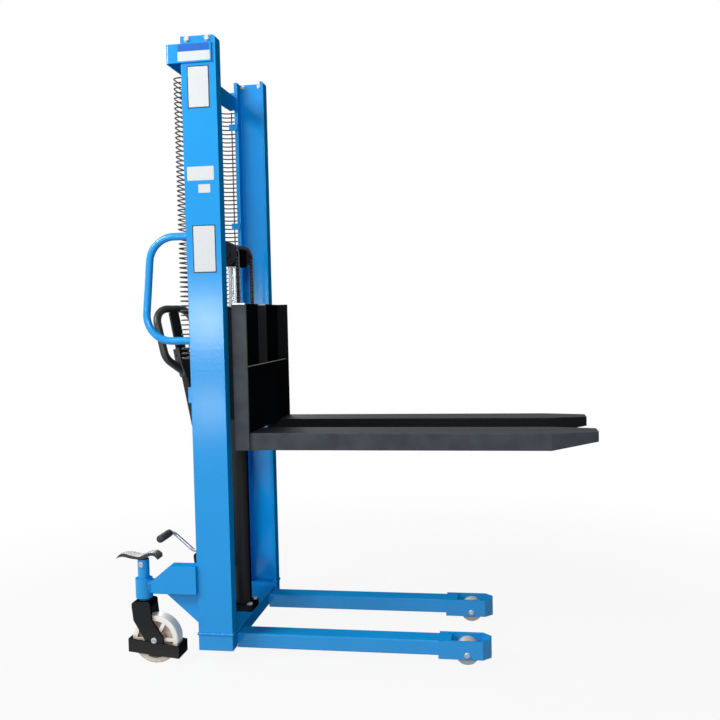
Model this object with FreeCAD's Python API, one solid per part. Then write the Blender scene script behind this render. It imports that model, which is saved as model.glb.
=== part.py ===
import FreeCAD, Part
import math
import os

# Hand pallet stacker: a two-channel mast on outrigger legs, a chain-lifted fork carriage, a hydraulic
# cylinder pumped by a tiller or a pedal, and two swivel casters, one of them braked. Millimetres.
# +X runs along the forks, +Y is the operator's left, +Z is up. The origin lies on the floor under the middle
# of the machine's box. The carriage stands part way up, with the forks clear of the floor.

V = FreeCAD.Vector
os.makedirs("parts", exist_ok=True)

# Common fits
overrun = 5.0            # how far a cutting tool passes the face that it cuts
run_gap = 0.1            # radial clearance of a shaft in its bush
roll_gap = 0.5           # clearance of a mast roller to each flange
turn_gap = 0.5           # end clearance beside a part that turns
tolerance = 0.05         # how close counts as being in the same place

# Mast
mast_depth = 120.0
mast_width = 50.0
mast_web = 8.0
mast_flange = 14.0
mast_half_span = 320.0   # centre plane to the outer face of a web
mast_top = 2109.0
mast_flange_round = 10.0
mast_slot_depth = 6.0    # slot in the outer rear corner of the mast, beside the arm's gusset
mast_slot_width = 14.0
mast_slot_height = 43.0
mast_slot_drop = 47.0    # arm's underside to the slot's top
foot_bottom = 46.0
foot_height = 57.0

# Reach of the machine from the front face of the mast
carriage_gap = 20.0
carriage_depth = 50.0
fork_length = 1150.0
kingpin_setback = 316.0
pedal_rear_reach = 97.0

# Carriage
carriage_top = 1227.0
carriage_half_width = 292.0
carriage_side_wall = 8.0
carriage_back_wall = 10.0
carriage_front_wall = 8.0
carriage_front_height = 223.0
rib_wall = 10.0
shelf_wall = 8.0
lug_height = 60.0
lug_wall = 12.0
lug_lift = 55.0

# Forks
fork_top = 787.0
fork_height = 58.0
fork_width = 160.0
fork_wall = 6.0
fork_let_in = 2.0        # depth that the carriage's plates are let into the forks
fork_edge_round = 4.0
fork_taper_length = 150.0
fork_tip_width = 90.0
fork_tip_rise = 26.0

# Lift
fork_lowered = 96.0      # height of the fork tops when fully lowered

# Mast rollers
roller_width = 36.0
roller_edge_round = 2.0
roller_axle_radius = 14.0
bracket_wall = 12.0
bracket_inset = 18.0     # mouth of the channel to the outer face of the bracket
bracket_rear_margin = 25.0
bracket_bottom_lift = 43.0
bracket_top_drop = 12.0
roller_low_lift = 50.0   # bracket's bottom to the lower roller's axle
roller_high_drop = 45.0  # bracket's top to the upper roller's axle

# Cylinder
cylinder_setback = 57.0
barrel_radius = 32.0
barrel_bore_radius = 27.0
barrel_top = 989.0
cylinder_base_half = 45.0
cylinder_base_height = 24.0
base_bolt_radius = 6.0
base_bolt_head_radius = 10.0
base_bolt_head = 8.0
base_bolt_margin = 12.0
gland_radius = 39.0
gland_height = 28.0
rod_radius = 22.0
piston_height = 40.0
piston_gap = 0.3
stroke_margin = 5.0      # spare travel at each end of the stroke

# Crosshead, chain wheels and chains
crosshead_half_width = 75.0
crosshead_rear_half = 28.0
crosshead_above_axle = 24.0
chain_wheel_setback = 54.0
chain_wheel_lift = 39.0  # crosshead's bottom to the wheel axle
chain_wheel_radius = 39.0
chain_root_radius = 33.0
chain_wheel_pin_radius = 10.0
chain_wheel_flange = 5.0
pin_washer_radius = 15.0
pin_washer = 4.0
chain_width = 14.0
chain_thickness = 10.0
chain_seat_gap = 0.4
anchor_height = 18.0
anchor_drop = 2.0        # gland's underside to the top of the anchor
anchor_margin = 8.0
anchor_collar_wall = 8.0

# Base and legs
crossbeam_margin = 6.0   # set in from the faces of the mast
crossbeam_height = 42.0
crossbeam_wall = 6.0
leg_outer = 250.0
leg_width = 75.0
leg_bottom = 32.0
leg_height = 52.0
leg_wall = 5.0
leg_edge_round = 6.0
leg_tube_clear = 53.0    # leg tube's end to the load roller's axle
leg_end_lap = 43.0       # length of the end bar that lies along the tube
leg_end_nose = 80.0      # load roller's axle to the end bar's tip
leg_end_wall = 8.0
leg_end_bottom = 24.0
leg_end_height = 62.0
leg_end_chamfer = 28.0
front_roller_reach = 788.0
front_roller_radius = 40.0
front_roller_width = 60.0
front_roller_round = 3.0
front_axle_radius = 8.0
axle_head_radius = 12.0
axle_head = 6.0

# Top of the mast
band_drop = 25.0         # mast's top to the band's top
band_height = 62.0
band_wall = 6.0
band_bend = 3.0          # inner radius of the band's bends
band_front_setback = 13.0
band_rear_setback = 170.0
tie_drop = 61.0          # mast's top to the tie's top
tie_height = 63.0
tie_wall = 8.0
tie_shoulder = 60.0
tie_shoulder_rise = 18.0
head_bolt_radius = 5.0
head_bolt_head_radius = 8.5
head_bolt_head = 7.0
head_bolt_drop = 10.0
head_bolt_setbacks = (28.0, 97.0)

# Push handles
handle_tube_radius = 13.0
handle_bend = 88.0
handle_reach_high = 134.0  # rear face of the mast to the top of the leaning grip
handle_reach_low = 167.0   # rear face of the mast to the bottom of the grip
handle_low = 1104.0
handle_high = 1456.0

# Mesh guard
guard_wire = 5.0
guard_setback = 51.5     # rear face of the mast to the mesh's centre
guard_drop = 117.0       # mast's top to the guard's top
guard_height = 951.0
guard_row_count = 58
guard_columns = 3
clip_height = 24.0
clip_wall = 6.0
clip_lap = 12.0          # length of a clip that lies on the mast
clip_reach = 22.0        # rear face of the mast to a clip's rear end
clip_height_shares = (0.03, 0.515, 0.926)
rear_tab_depth = 15.0
rear_tab_width = 25.0
rear_tab_bottom = 893.0
rear_tab_height = 53.0

# Caster arms and collars
caster_inset = 12.0      # mast's outer face to the casters' middle
arm_width = 50.0
arm_wall = 6.0
arm_top = 337.0
arm_bottom = 241.0
arm_flat_reach = 94.0    # level part of the arm's top, from the mast
arm_length = 154.0
arm_nose_top = 288.0
neck_width = 32.0        # narrow block between the arm's end and the collar
neck_top = 283.0
gusset_wall = 8.0
gusset_reach = 130.0
gusset_drop = 113.0
collar_radius = 29.5
collar_bottom = 222.0
collar_height = 67.0

# Casters
king_tube_radius = 20.0
king_tube_bore = 14.0
king_tube_top = 355.0
caster_trail = 44.0
caster_wheel_radius = 82.0
caster_wheel_width = 50.0
caster_wheel_round = 5.0
caster_hub_radius = 24.0
caster_rim = 18.0
caster_web = 14.0
caster_spokes = 6
caster_spoke_width = 12.0
caster_axle_radius = 8.0
yoke_wall = 8.0
yoke_gap = 3.0           # wheel's side to the inside of a yoke leg
yoke_half_length = 33.0
crown_height = 17.0
crown_round = 10.0
crown_gap = 8.0          # top of the crown to the collar
yoke_eye_radius = 33.0
knee_height = 150.0
knee_shift = 5.0         # how far the legs have swept forwards at the knee
toe_guard_wall = 6.0
toe_guard_reach = 90.0    # axle to each end of the guard
toe_guard_rear_bottom = 43.0
toe_guard_rear_top = 88.0
toe_guard_front_bottom = 24.0
toe_guard_front_top = 65.0

# Brake pedal, on the right caster only
pedal_length = 158.0
pedal_width = 46.0
pedal_rise = 20.0
pedal_gap = 3.0
pedal_tip_width = 12.0
pedal_taper_length = 55.0
pedal_lug_half = 8.0     # half side of the lug inside the king tube
pedal_pin_radius = 5.0
pedal_pin_drop = 16.0
pedal_bolt_head = 5.0
pedal_bolt_head_radius = 9.0
king_cap_height = 4.0
king_cap_plug = 12.0
# Shares of the pedal's length and rise, along its top from the rear tip and back along its underside
pedal_top_shares = ((0.0, -0.25), (0.20, 0.85), (0.42, 0.62), (0.60, 0.50), (0.80, 1.15), (1.0, 0.60))
pedal_under_shares = ((1.0, 0.0), (0.82, 0.62), (0.68, 0.10), (0.60, 0.0), (0.42, 0.08), (0.20, 0.28))

# Pump
tiller_setback = 153.0
shelf_height = 12.0
shelf_lift = 4.0         # arm's underside to the shelf's underside
pump_shelf_front = 95.0
pump_shelf_rear = 187.0
pump_shelf_inset = 12.0
pump_radius = 32.0
pump_height = 88.0
neck_radius = 25.0
neck_height = 16.0
plunger_radius = 11.0
plunger_length = 78.0
plunger_floor = 6.0
pedal_lug_length = 20.0
pedal_lug_width = 18.0
pedal_lug_lift = 33.0    # shelf's top to the foot pedal's pivot
pedal_pivot_radius = 6.0
pedal_boss_radius = 10.0
pedal_boss_width = 17.0

# Oil pipe
pipe_radius = 5.0
pipe_bend = 14.0
pipe_standoff = 62.0     # centre plane to the pipe's upright run
pipe_lift = 18.0         # shelf's top to the pipe's outlet
pipe_turn = 22.0         # cylinder's axis to the pipe's inlet
pipe_inlet_lift = 12.0

# Tiller
tiller_pivot_lift = 50.0  # pump's top to the tiller's pin
tiller_lean = 15.6        # degrees from upright, towards the operator
tiller_turn = -32.6       # degrees, turned aside about the upright axis
yoke_ring_radius = 31.0
yoke_ear_half = 20.0
yoke_ear_wall = 9.0
tiller_pin_radius = 8.0
tiller_boss_radius = 20.0
tiller_boss_half = 19.0
shaft_low_radius = 14.0
shaft_high_radius = 18.0
shaft_length = 585.0
head_height = 110.0
head_half_width = 27.0
head_half_depth = 18.0
head_taper = 45.0         # head's underside to its full width
head_edge_round = 6.0
loop_start = 12.0         # head's underside to the loop's root
loop_half_width = 86.0
loop_low_half_width = 79.0
loop_side_start = 74.0    # head's underside to the straight sides
loop_top = 270.0          # head's underside to the top bar's centre line
loop_radius = 15.0
loop_bend = 58.0
lever_half_width = 20.0
lever_wall = 12.0
lever_pivot = 82.0        # head's underside to the lever's pin
lever_length = 171.5
lever_pin_radius = 5.0
lever_tail = 16.0
trigger_length = 20.0
trigger_height = 26.0
trigger_width = 8.0
trigger_lift = 4.0

# Foot pedal
foot_rod_radius = 7.0
foot_rod_bend = 26.0
foot_pedal_reach = 142.0  # pivot to the grip, rearwards
foot_pedal_rise = 80.0
foot_rod_run = 62.0
foot_rod_run_rise = 10.0
foot_grip_radius = 14.5
foot_grip_length = 96.0
foot_grip_round = 2.0
foot_rod_tail = 4.0

# Places worked out from the sizes
fork_reach = carriage_gap + carriage_depth + fork_length
rear_reach = kingpin_setback + pedal_rear_reach
mast_x = (rear_reach - fork_reach) / 2
mast_back_x = mast_x - mast_depth
mast_mid_x = mast_x - mast_depth / 2
mouth_y = mast_half_span - mast_width
caster_y = mast_half_span - caster_inset
band_bottom = mast_top - band_drop - band_height
tie_bottom = mast_top - tie_drop - tie_height
guard_bottom = mast_top - guard_drop - guard_height
guard_half_width = mouth_y + guard_wire
foot_top = foot_bottom + foot_height
crossbeam_top = foot_bottom + crossbeam_height
crossbeam_front_x = mast_x - crossbeam_margin
carriage_back_x = mast_x + carriage_gap
carriage_front_x = carriage_back_x + carriage_depth
carriage_inner = carriage_half_width - carriage_side_wall
fork_tip_x = mast_x + fork_reach
fork_bottom = fork_top - fork_height
fork_seat = fork_top - fork_let_in
lower_travel = fork_top - fork_lowered
cylinder_x = mast_x - cylinder_setback
cylinder_base_top = crossbeam_top + cylinder_base_height
gland_top = barrel_top + gland_height
piston_bottom = cylinder_base_top + stroke_margin + lower_travel / 2
crosshead_bottom = gland_top + stroke_margin + lower_travel / 2
chain_wheel_x = mast_x - chain_wheel_setback
chain_wheel_z = crosshead_bottom + chain_wheel_lift
chain_inner_radius = chain_root_radius + chain_seat_gap
chain_outer_radius = chain_inner_radius + chain_thickness
groove_width = chain_width + 2 * chain_seat_gap
chain_wheel_width = groove_width + 2 * chain_wheel_flange
chain_y = crosshead_half_width + turn_gap + chain_wheel_width / 2
anchor_top = barrel_top - anchor_drop
bracket_bottom = fork_top + bracket_bottom_lift
bracket_top = carriage_top - bracket_top_drop
bracket_outer = mouth_y - bracket_inset
roller_heights = (bracket_bottom + roller_low_lift, bracket_top - roller_high_drop)
roller_radius = mast_depth / 2 - mast_flange - roll_gap
roller_inner = mast_half_span - mast_web - (mast_width - mast_web) / 2 - roller_width / 2
lug_bottom = fork_top + lug_lift
leg_tube_end = front_roller_reach - leg_tube_clear
leg_end_start = leg_tube_end - leg_end_lap
leg_end_tip = front_roller_reach + leg_end_nose
leg_inner = leg_outer - leg_width
leg_mid = leg_outer - leg_width / 2
front_roller_x = mast_x + front_roller_reach
kingpin_x = mast_x - kingpin_setback
caster_axle_x = kingpin_x + caster_trail
crown_top = collar_bottom - crown_gap
yoke_inner = caster_wheel_width / 2 + yoke_gap
yoke_outer = yoke_inner + yoke_wall
tiller_x = mast_x - tiller_setback
shelf_bottom = arm_bottom + shelf_lift
shelf_top = shelf_bottom + shelf_height
arm_inner = caster_y - arm_width / 2
arm_outer = caster_y + arm_width / 2
pump_top = shelf_top + pump_height
tiller_z = pump_top + tiller_pivot_lift
head_bottom = tiller_z + shaft_length
foot_pivot_x = tiller_x - pump_radius - pedal_lug_length / 2
foot_pivot_z = shelf_top + pedal_lug_lift
handle_y = mast_half_span - mast_width / 2
arm_end_x = mast_back_x - arm_length
pedal_pin_z = king_tube_top - pedal_pin_drop
guard_x = mast_back_x - guard_setback


# Builders
def block(x0, x1, y0, y1, z0, z1):
    """Box between two corners."""
    return Part.makeBox(x1 - x0, y1 - y0, z1 - z0, V(x0, y0, z0))


def post(x, y, radius, z0, z1):
    """Upright cylinder."""
    return Part.makeCylinder(radius, z1 - z0, V(x, y, z0), V(0, 0, 1))


def shaft(x, z, radius, y0, y1):
    """Cylinder along Y."""
    return Part.makeCylinder(radius, y1 - y0, V(x, y0, z), V(0, 1, 0))


def side_plate(points, y0, y1):
    """Plate with an outline of (x, z) points, between two Y planes."""
    outline = Part.makePolygon([V(x, y0, z) for x, z in points + points[:1]])
    return Part.Face(outline).extrude(V(0, y1 - y0, 0))


def plan_plate(points, z0, z1):
    """Plate with an outline of (x, y) points, between two heights."""
    outline = Part.makePolygon([V(x, y, z0) for x, y in points + points[:1]])
    return Part.Face(outline).extrude(V(0, 0, z1 - z0))


def cross_plate(points, x0, x1):
    """Plate with an outline of (y, z) points, between two X planes."""
    outline = Part.makePolygon([V(x0, y, z) for y, z in points + points[:1]])
    return Part.Face(outline).extrude(V(x1 - x0, 0, 0))


def bent_line(points, bend):
    """Straight runs between the points, with a tangent arc of the given radius at each inner point."""
    edges = []
    start = points[0]
    for before, corner, after in zip(points, points[1:], points[2:]):
        back = (before - corner).normalize()
        on = (after - corner).normalize()
        half = back.getAngle(on) / 2
        setback = bend / math.tan(half)
        inward = (back + on).normalize() * (bend / math.sin(half) - bend)
        edges.append(Part.LineSegment(start, corner + back * setback).toShape())
        edges.append(Part.Arc(corner + back * setback, corner + inward, corner + on * setback).toShape())
        start = corner + on * setback
    edges.append(Part.LineSegment(start, points[-1]).toShape())
    return Part.Wire(edges)


def bent_rod(points, bend, radius):
    """Round bar along a bent line."""
    ring = Part.Wire(Part.makeCircle(radius, points[0], points[1] - points[0]))
    return bent_line(points, bend).makePipeShell([ring], True, False)


def mirrored(shape):
    """The same piece on the other side of the centre plane."""
    return shape.mirror(V(0, 0, 0), V(0, 1, 0))


def pair(shape):
    """The piece and its mirror image."""
    return Part.makeCompound([shape, mirrored(shape)])


def save(node, shape):
    shape.exportStep("parts/" + node + ".step")


def save_sides(name, shape):
    """Saves a piece modelled on the right, and its mirror image on the left."""
    save(name + "_right", shape)
    save(name + "_left", mirrored(shape))


# Mast
def mast_channel():
    """Right channel, open towards the centre, with the top corner of its front flange rounded."""
    web_y = -mast_half_span
    channel = block(mast_back_x, mast_x, web_y, -mouth_y, foot_top, mast_top)
    hollow_x0 = mast_back_x + mast_flange
    hollow_x1 = mast_x - mast_flange
    channel = channel.cut(block(hollow_x0, hollow_x1, web_y + mast_web, -mouth_y + overrun,
                                foot_top - overrun, mast_top + overrun))
    for setback in head_bolt_setbacks:
        channel = channel.cut(shaft(mast_x - setback, mast_top - head_bolt_drop, head_bolt_radius,
                                    web_y - overrun, web_y + mast_web + overrun))
    slot_top = arm_bottom - mast_slot_drop
    channel = channel.cut(block(mast_back_x - overrun, mast_back_x + mast_slot_depth, web_y - overrun,
                                web_y + mast_slot_width, slot_top - mast_slot_height, slot_top))
    return channel.makeFillet(mast_flange_round, [e for e in channel.Edges if is_front_corner(e)])


def is_front_corner(edge):
    """True for the top edge of the front face, which runs along Y."""
    box = edge.BoundBox
    on_face = abs(box.Center.x - mast_x) < tolerance and abs(box.Center.z - mast_top) < tolerance
    return on_face and box.YLength > mast_width / 2


def mast_foot():
    return block(mast_back_x, mast_x, -mast_half_span, -mouth_y, foot_bottom, foot_top)


def head_band():
    """Band bent round the back of both masts near the top."""
    outer = mast_half_span + band_wall
    rear_x = mast_x - band_rear_setback
    front_x = mast_x - band_front_setback
    band = block(rear_x, front_x, -outer, outer, band_bottom, band_bottom + band_height)
    band = band.makeFillet(band_bend + band_wall, upright_edges(band, rear_x))
    hollow = block(rear_x + band_wall, front_x + overrun, -mast_half_span, mast_half_span,
                   band_bottom - overrun, band_bottom + band_height + overrun)
    return band.cut(hollow.makeFillet(band_bend, upright_edges(hollow, rear_x + band_wall)))


def upright_edges(shape, x):
    """Upright edges of a shape in the plane at x."""
    return [e for e in shape.Edges if abs(e.BoundBox.XMin - x) < tolerance and e.BoundBox.XLength < tolerance
            and e.BoundBox.YLength < tolerance]


def top_tie():
    """Plate between the rear flanges, with its lower corners cut back near the masts."""
    points = [(-mouth_y, tie_bottom + tie_height), (mouth_y, tie_bottom + tie_height),
              (mouth_y, tie_bottom + tie_shoulder_rise), (mouth_y - tie_shoulder, tie_bottom),
              (tie_shoulder - mouth_y, tie_bottom), (-mouth_y, tie_bottom + tie_shoulder_rise)]
    return cross_plate(points, mast_back_x, mast_back_x + tie_wall)


def head_bolts():
    """Bolts through the right web near the top, each with a nut inside the channel."""
    web_y = -mast_half_span
    z = mast_top - head_bolt_drop
    bolts = []
    for setback in head_bolt_setbacks:
        x = mast_x - setback
        bolt = shaft(x, z, head_bolt_head_radius, web_y - head_bolt_head, web_y)
        bolt = bolt.fuse(shaft(x, z, head_bolt_radius, web_y, web_y + mast_web))
        bolts.append(bolt.fuse(shaft(x, z, head_bolt_head_radius, web_y + mast_web,
                                     web_y + mast_web + head_bolt_head)))
    return Part.makeCompound(bolts)


# Base
def base_crossbeam():
    """Hollow beam between the mast feet."""
    rear_x = mast_back_x + crossbeam_margin
    beam = block(rear_x, crossbeam_front_x, -mouth_y, mouth_y, foot_bottom, crossbeam_top)
    hollow = block(rear_x + crossbeam_wall, crossbeam_front_x - crossbeam_wall, -mouth_y - overrun,
                   mouth_y + overrun, foot_bottom + crossbeam_wall, crossbeam_top - crossbeam_wall)
    beam = beam.cut(hollow)
    for x, y in base_bolt_places():
        beam = beam.cut(post(x, y, base_bolt_radius, crossbeam_top - crossbeam_wall - overrun,
                             crossbeam_top + overrun))
    return beam


def leg():
    """Right outrigger tube."""
    end_x = mast_x + leg_tube_end
    leg_top = leg_bottom + leg_height
    tube = block(crossbeam_front_x, end_x, -leg_outer, -leg_inner, leg_bottom, leg_top)
    tube = tube.makeFillet(leg_edge_round, [e for e in tube.Edges if e.BoundBox.XLength > leg_tube_end / 2])
    return tube.cut(block(crossbeam_front_x - overrun, end_x + overrun, -leg_outer + leg_wall,
                          -leg_inner - leg_wall, leg_bottom + leg_wall, leg_top - leg_wall))


def leg_end():
    """Flat bar bent round the end of the right leg, with chamfered front corners and holes for the axle."""
    start_x = mast_x + leg_end_start
    tip_x = mast_x + leg_end_tip
    end_top = leg_end_bottom + leg_end_height
    outer = bar_outline(start_x, tip_x, leg_outer + leg_end_wall, leg_inner - leg_end_wall, leg_end_chamfer)
    # The bar keeps its wall across the chamfer, so the inner chamfer is shorter
    inner_chamfer = leg_end_chamfer - leg_end_wall * (2 - math.sqrt(2))
    inner = bar_outline(start_x - overrun, tip_x - leg_end_wall, leg_outer, leg_inner, inner_chamfer)
    bar = plan_plate(outer, leg_end_bottom, end_top)
    bar = bar.cut(plan_plate(inner, leg_end_bottom - overrun, end_top + overrun))
    return bar.cut(shaft(front_roller_x, front_roller_radius, front_axle_radius,
                         -leg_outer - leg_end_wall - overrun, -leg_inner + leg_end_wall + overrun))


def bar_outline(start_x, tip_x, outer_y, inner_y, chamfer):
    """Plan outline of the leg's end on the right side."""
    return [(start_x, -outer_y), (tip_x - chamfer, -outer_y), (tip_x, chamfer - outer_y),
            (tip_x, -inner_y - chamfer), (tip_x - chamfer, -inner_y), (start_x, -inner_y)]


def front_roller_axle():
    outer = leg_outer + leg_end_wall
    inner = leg_inner - leg_end_wall
    axle = shaft(front_roller_x, front_roller_radius, front_axle_radius, -outer, -inner)
    for y0 in (-outer - axle_head, -inner):
        axle = axle.fuse(shaft(front_roller_x, front_roller_radius, axle_head_radius, y0, y0 + axle_head))
    return axle


def front_roller():
    """Load roller with a rounded edge, on the right."""
    half = front_roller_width / 2
    roller = shaft(front_roller_x, front_roller_radius, front_roller_radius, -leg_mid - half, -leg_mid + half)
    roller = roller.makeFillet(front_roller_round, roller.Edges)
    return roller.cut(shaft(front_roller_x, front_roller_radius, front_axle_radius + run_gap,
                            -leg_mid - half - overrun, -leg_mid + half + overrun))


# Caster arms
def caster_arm():
    """Right arm: a box beam with a sloping nose, a neck to the collar, and a gusset below."""
    outline = [(mast_back_x, arm_bottom), (mast_back_x, arm_top), (mast_back_x - arm_flat_reach, arm_top),
               (arm_end_x, arm_nose_top), (arm_end_x, arm_bottom)]
    arm = side_plate(outline, -arm_outer, -arm_inner)
    inset = [(mast_back_x - arm_wall, arm_bottom + arm_wall), (mast_back_x - arm_wall, arm_top - arm_wall),
             (mast_back_x - arm_flat_reach, arm_top - arm_wall),
             (arm_end_x + arm_wall, arm_nose_top - arm_wall), (arm_end_x + arm_wall, arm_bottom + arm_wall)]
    arm = arm.cut(side_plate(inset, -arm_outer + arm_wall, -arm_inner - arm_wall))
    arm = arm.fuse(block(kingpin_x, arm_end_x, -caster_y - neck_width / 2, -caster_y + neck_width / 2,
                         arm_bottom, neck_top))
    gusset = side_plate([(mast_back_x, arm_bottom), (mast_back_x, arm_bottom - gusset_drop),
                         (mast_back_x - gusset_reach, arm_bottom)],
                        -handle_y - gusset_wall / 2, -handle_y + gusset_wall / 2)
    arm = arm.fuse(gusset)
    return arm.cut(post(kingpin_x, -caster_y, collar_radius, arm_bottom - overrun, arm_top + overrun))


def swivel_collar():
    top = collar_bottom + collar_height
    collar = post(kingpin_x, -caster_y, collar_radius, collar_bottom, top)
    return collar.cut(post(kingpin_x, -caster_y, king_tube_radius + run_gap,
                           collar_bottom - overrun, top + overrun))


# Casters
def king_tube():
    tube = post(kingpin_x, -caster_y, king_tube_radius, crown_top, king_tube_top)
    return tube.cut(post(kingpin_x, -caster_y, king_tube_bore, crown_top + crown_height,
                         king_tube_top + overrun))


def braked_king_tube():
    """King tube with a cross hole for the pedal's bolt."""
    half = king_tube_radius + overrun
    return king_tube().cut(shaft(kingpin_x, pedal_pin_z, pedal_pin_radius, -caster_y - half,
                                 -caster_y + half))


def king_cap():
    """Plug in the top of the unbraked king tube."""
    cap = post(kingpin_x, -caster_y, king_tube_radius, king_tube_top, king_tube_top + king_cap_height)
    return cap.fuse(post(kingpin_x, -caster_y, king_tube_bore, king_tube_top - king_cap_plug, king_tube_top))


def caster_fork():
    """Yoke under the king tube, with its legs swept to the axle and a tilted toe guard round the wheel."""
    crown_bottom = crown_top - crown_height
    x0 = kingpin_x - yoke_half_length
    x1 = kingpin_x + yoke_half_length
    axle_z = caster_wheel_radius
    fork = block(x0, x1, -caster_y - yoke_outer, -caster_y + yoke_outer, crown_bottom, crown_top)
    fork = fork.makeFillet(crown_round, [e for e in fork.Edges if e.BoundBox.ZMin > crown_top - tolerance
                                         and e.BoundBox.XLength < tolerance])
    guard_outer = yoke_outer + toe_guard_wall
    guard_x0 = caster_axle_x - toe_guard_reach
    guard_x1 = caster_axle_x + toe_guard_reach
    guard = side_plate([(guard_x0, toe_guard_rear_bottom), (guard_x1, toe_guard_front_bottom),
                        (guard_x1, toe_guard_front_top), (guard_x0, toe_guard_rear_top)],
                       -caster_y - guard_outer, -caster_y + guard_outer)
    guard = guard.cut(block(guard_x0 + toe_guard_wall, guard_x1 - toe_guard_wall, -caster_y - yoke_outer,
                            -caster_y + yoke_outer, toe_guard_front_bottom - overrun,
                            toe_guard_rear_top + overrun))
    # The guard's sides are scalloped round the axle's heads
    guard = guard.cut(shaft(caster_axle_x, axle_z, axle_head_radius + turn_gap,
                            -caster_y - guard_outer - overrun, -caster_y + guard_outer + overrun))
    fork = fork.fuse(guard)
    slant = yoke_eye_radius * math.sqrt(0.5)
    leg_outline = [(x0, crown_bottom), (x1, crown_bottom), (x1 + knee_shift, knee_height),
                   (caster_axle_x + slant, axle_z + slant), (caster_axle_x - yoke_eye_radius, axle_z),
                   (x0 + knee_shift, knee_height)]
    for y in (-caster_y - yoke_outer, -caster_y + yoke_inner):
        fork = fork.fuse(side_plate(leg_outline, y, y + yoke_wall))
        fork = fork.fuse(shaft(caster_axle_x, axle_z, yoke_eye_radius, y, y + yoke_wall))
    return fork.cut(shaft(caster_axle_x, axle_z, caster_axle_radius, -caster_y - guard_outer - overrun,
                          -caster_y + guard_outer + overrun))


def caster_axle():
    axle = shaft(caster_axle_x, caster_wheel_radius, caster_axle_radius, -caster_y - yoke_outer,
                 -caster_y + yoke_outer)
    for y0 in (-caster_y - yoke_outer - axle_head, -caster_y + yoke_outer):
        axle = axle.fuse(shaft(caster_axle_x, caster_wheel_radius, axle_head_radius, y0, y0 + axle_head))
    return axle


def pedal_bolt():
    """Bolt across the right king tube that the brake pedal tilts on."""
    bolt = shaft(kingpin_x, pedal_pin_z, pedal_pin_radius, -caster_y - king_tube_radius,
                 -caster_y + king_tube_radius)
    for y0 in (-caster_y - king_tube_radius - pedal_bolt_head, -caster_y + king_tube_radius):
        bolt = bolt.fuse(shaft(kingpin_x, pedal_pin_z, pedal_bolt_head_radius, y0, y0 + pedal_bolt_head))
    return bolt


def caster_wheel():
    """Nylon wheel with pockets between spokes on both sides of a web."""
    half = caster_wheel_width / 2
    centre = V(caster_axle_x, -caster_y, caster_wheel_radius)
    wheel = shaft(centre.x, centre.z, caster_wheel_radius, -caster_y - half, -caster_y + half)
    wheel = wheel.makeFillet(caster_wheel_round, wheel.Edges)
    pocket_radius = caster_wheel_radius - caster_rim
    for y0, y1 in ((-caster_y - half - overrun, -caster_y - caster_web / 2),
                   (-caster_y + caster_web / 2, -caster_y + half + overrun)):
        pocket = shaft(centre.x, centre.z, pocket_radius, y0, y1)
        pocket = pocket.cut(shaft(centre.x, centre.z, caster_hub_radius, y0, y1))
        for i in range(caster_spokes):
            spoke = block(centre.x, centre.x + caster_wheel_radius, y0, y1,
                          centre.z - caster_spoke_width / 2, centre.z + caster_spoke_width / 2)
            spoke.rotate(centre, V(0, 1, 0), 360 * i / caster_spokes)
            pocket = pocket.cut(spoke)
        wheel = wheel.cut(pocket)
    return wheel.cut(shaft(centre.x, centre.z, caster_axle_radius + run_gap, -caster_y - half - overrun,
                           -caster_y + half + overrun))


def brake_pedal():
    """Two-winged pedal over the king tube, narrowing to its rear tip, with a lug inside the tube."""
    x0 = kingpin_x - pedal_rear_reach
    z0 = king_tube_top + pedal_gap
    half = pedal_width / 2
    top = [V(x0 + a * pedal_length, -caster_y - half, z0 + b * pedal_rise) for a, b in pedal_top_shares]
    under = [V(x0 + a * pedal_length, -caster_y - half, z0 + b * pedal_rise) for a, b in pedal_under_shares]
    curves = []
    for points in (top, under + top[:1]):
        curve = Part.BSplineCurve()
        curve.interpolate(points)
        curves.append(curve.toShape())
    curves.append(Part.LineSegment(top[-1], under[0]).toShape())
    outline = Part.Wire(Part.sortEdges(curves)[0])
    pedal = Part.Face(outline).extrude(V(0, pedal_width, 0))
    half_tip = pedal_tip_width / 2
    plan = [(x0 - overrun, -caster_y - half_tip), (x0, -caster_y - half_tip),
            (x0 + pedal_taper_length, -caster_y - half), (x0 + pedal_length + overrun, -caster_y - half),
            (x0 + pedal_length + overrun, -caster_y + half), (x0 + pedal_taper_length, -caster_y + half),
            (x0, -caster_y + half_tip), (x0 - overrun, -caster_y + half_tip)]
    pedal = pedal.common(plan_plate(plan, z0 - pedal_rise, z0 + 2 * pedal_rise))
    lug = block(kingpin_x - pedal_lug_half, kingpin_x + pedal_lug_half, -caster_y - pedal_lug_half,
                -caster_y + pedal_lug_half, pedal_pin_z - pedal_lug_half, z0 + pedal_rise / 4)
    return pedal.fuse(lug).cut(shaft(kingpin_x, pedal_pin_z, pedal_pin_radius + run_gap, -caster_y - half,
                                     -caster_y + half))


# Handles and guard
def push_handle():
    high_x = mast_back_x - handle_reach_high
    low_x = mast_back_x - handle_reach_low
    points = [V(mast_back_x, -handle_y, handle_high), V(high_x, -handle_y, handle_high),
              V(low_x, -handle_y, handle_low), V(mast_back_x, -handle_y, handle_low)]
    return bent_rod(points, handle_bend, handle_tube_radius)


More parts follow.
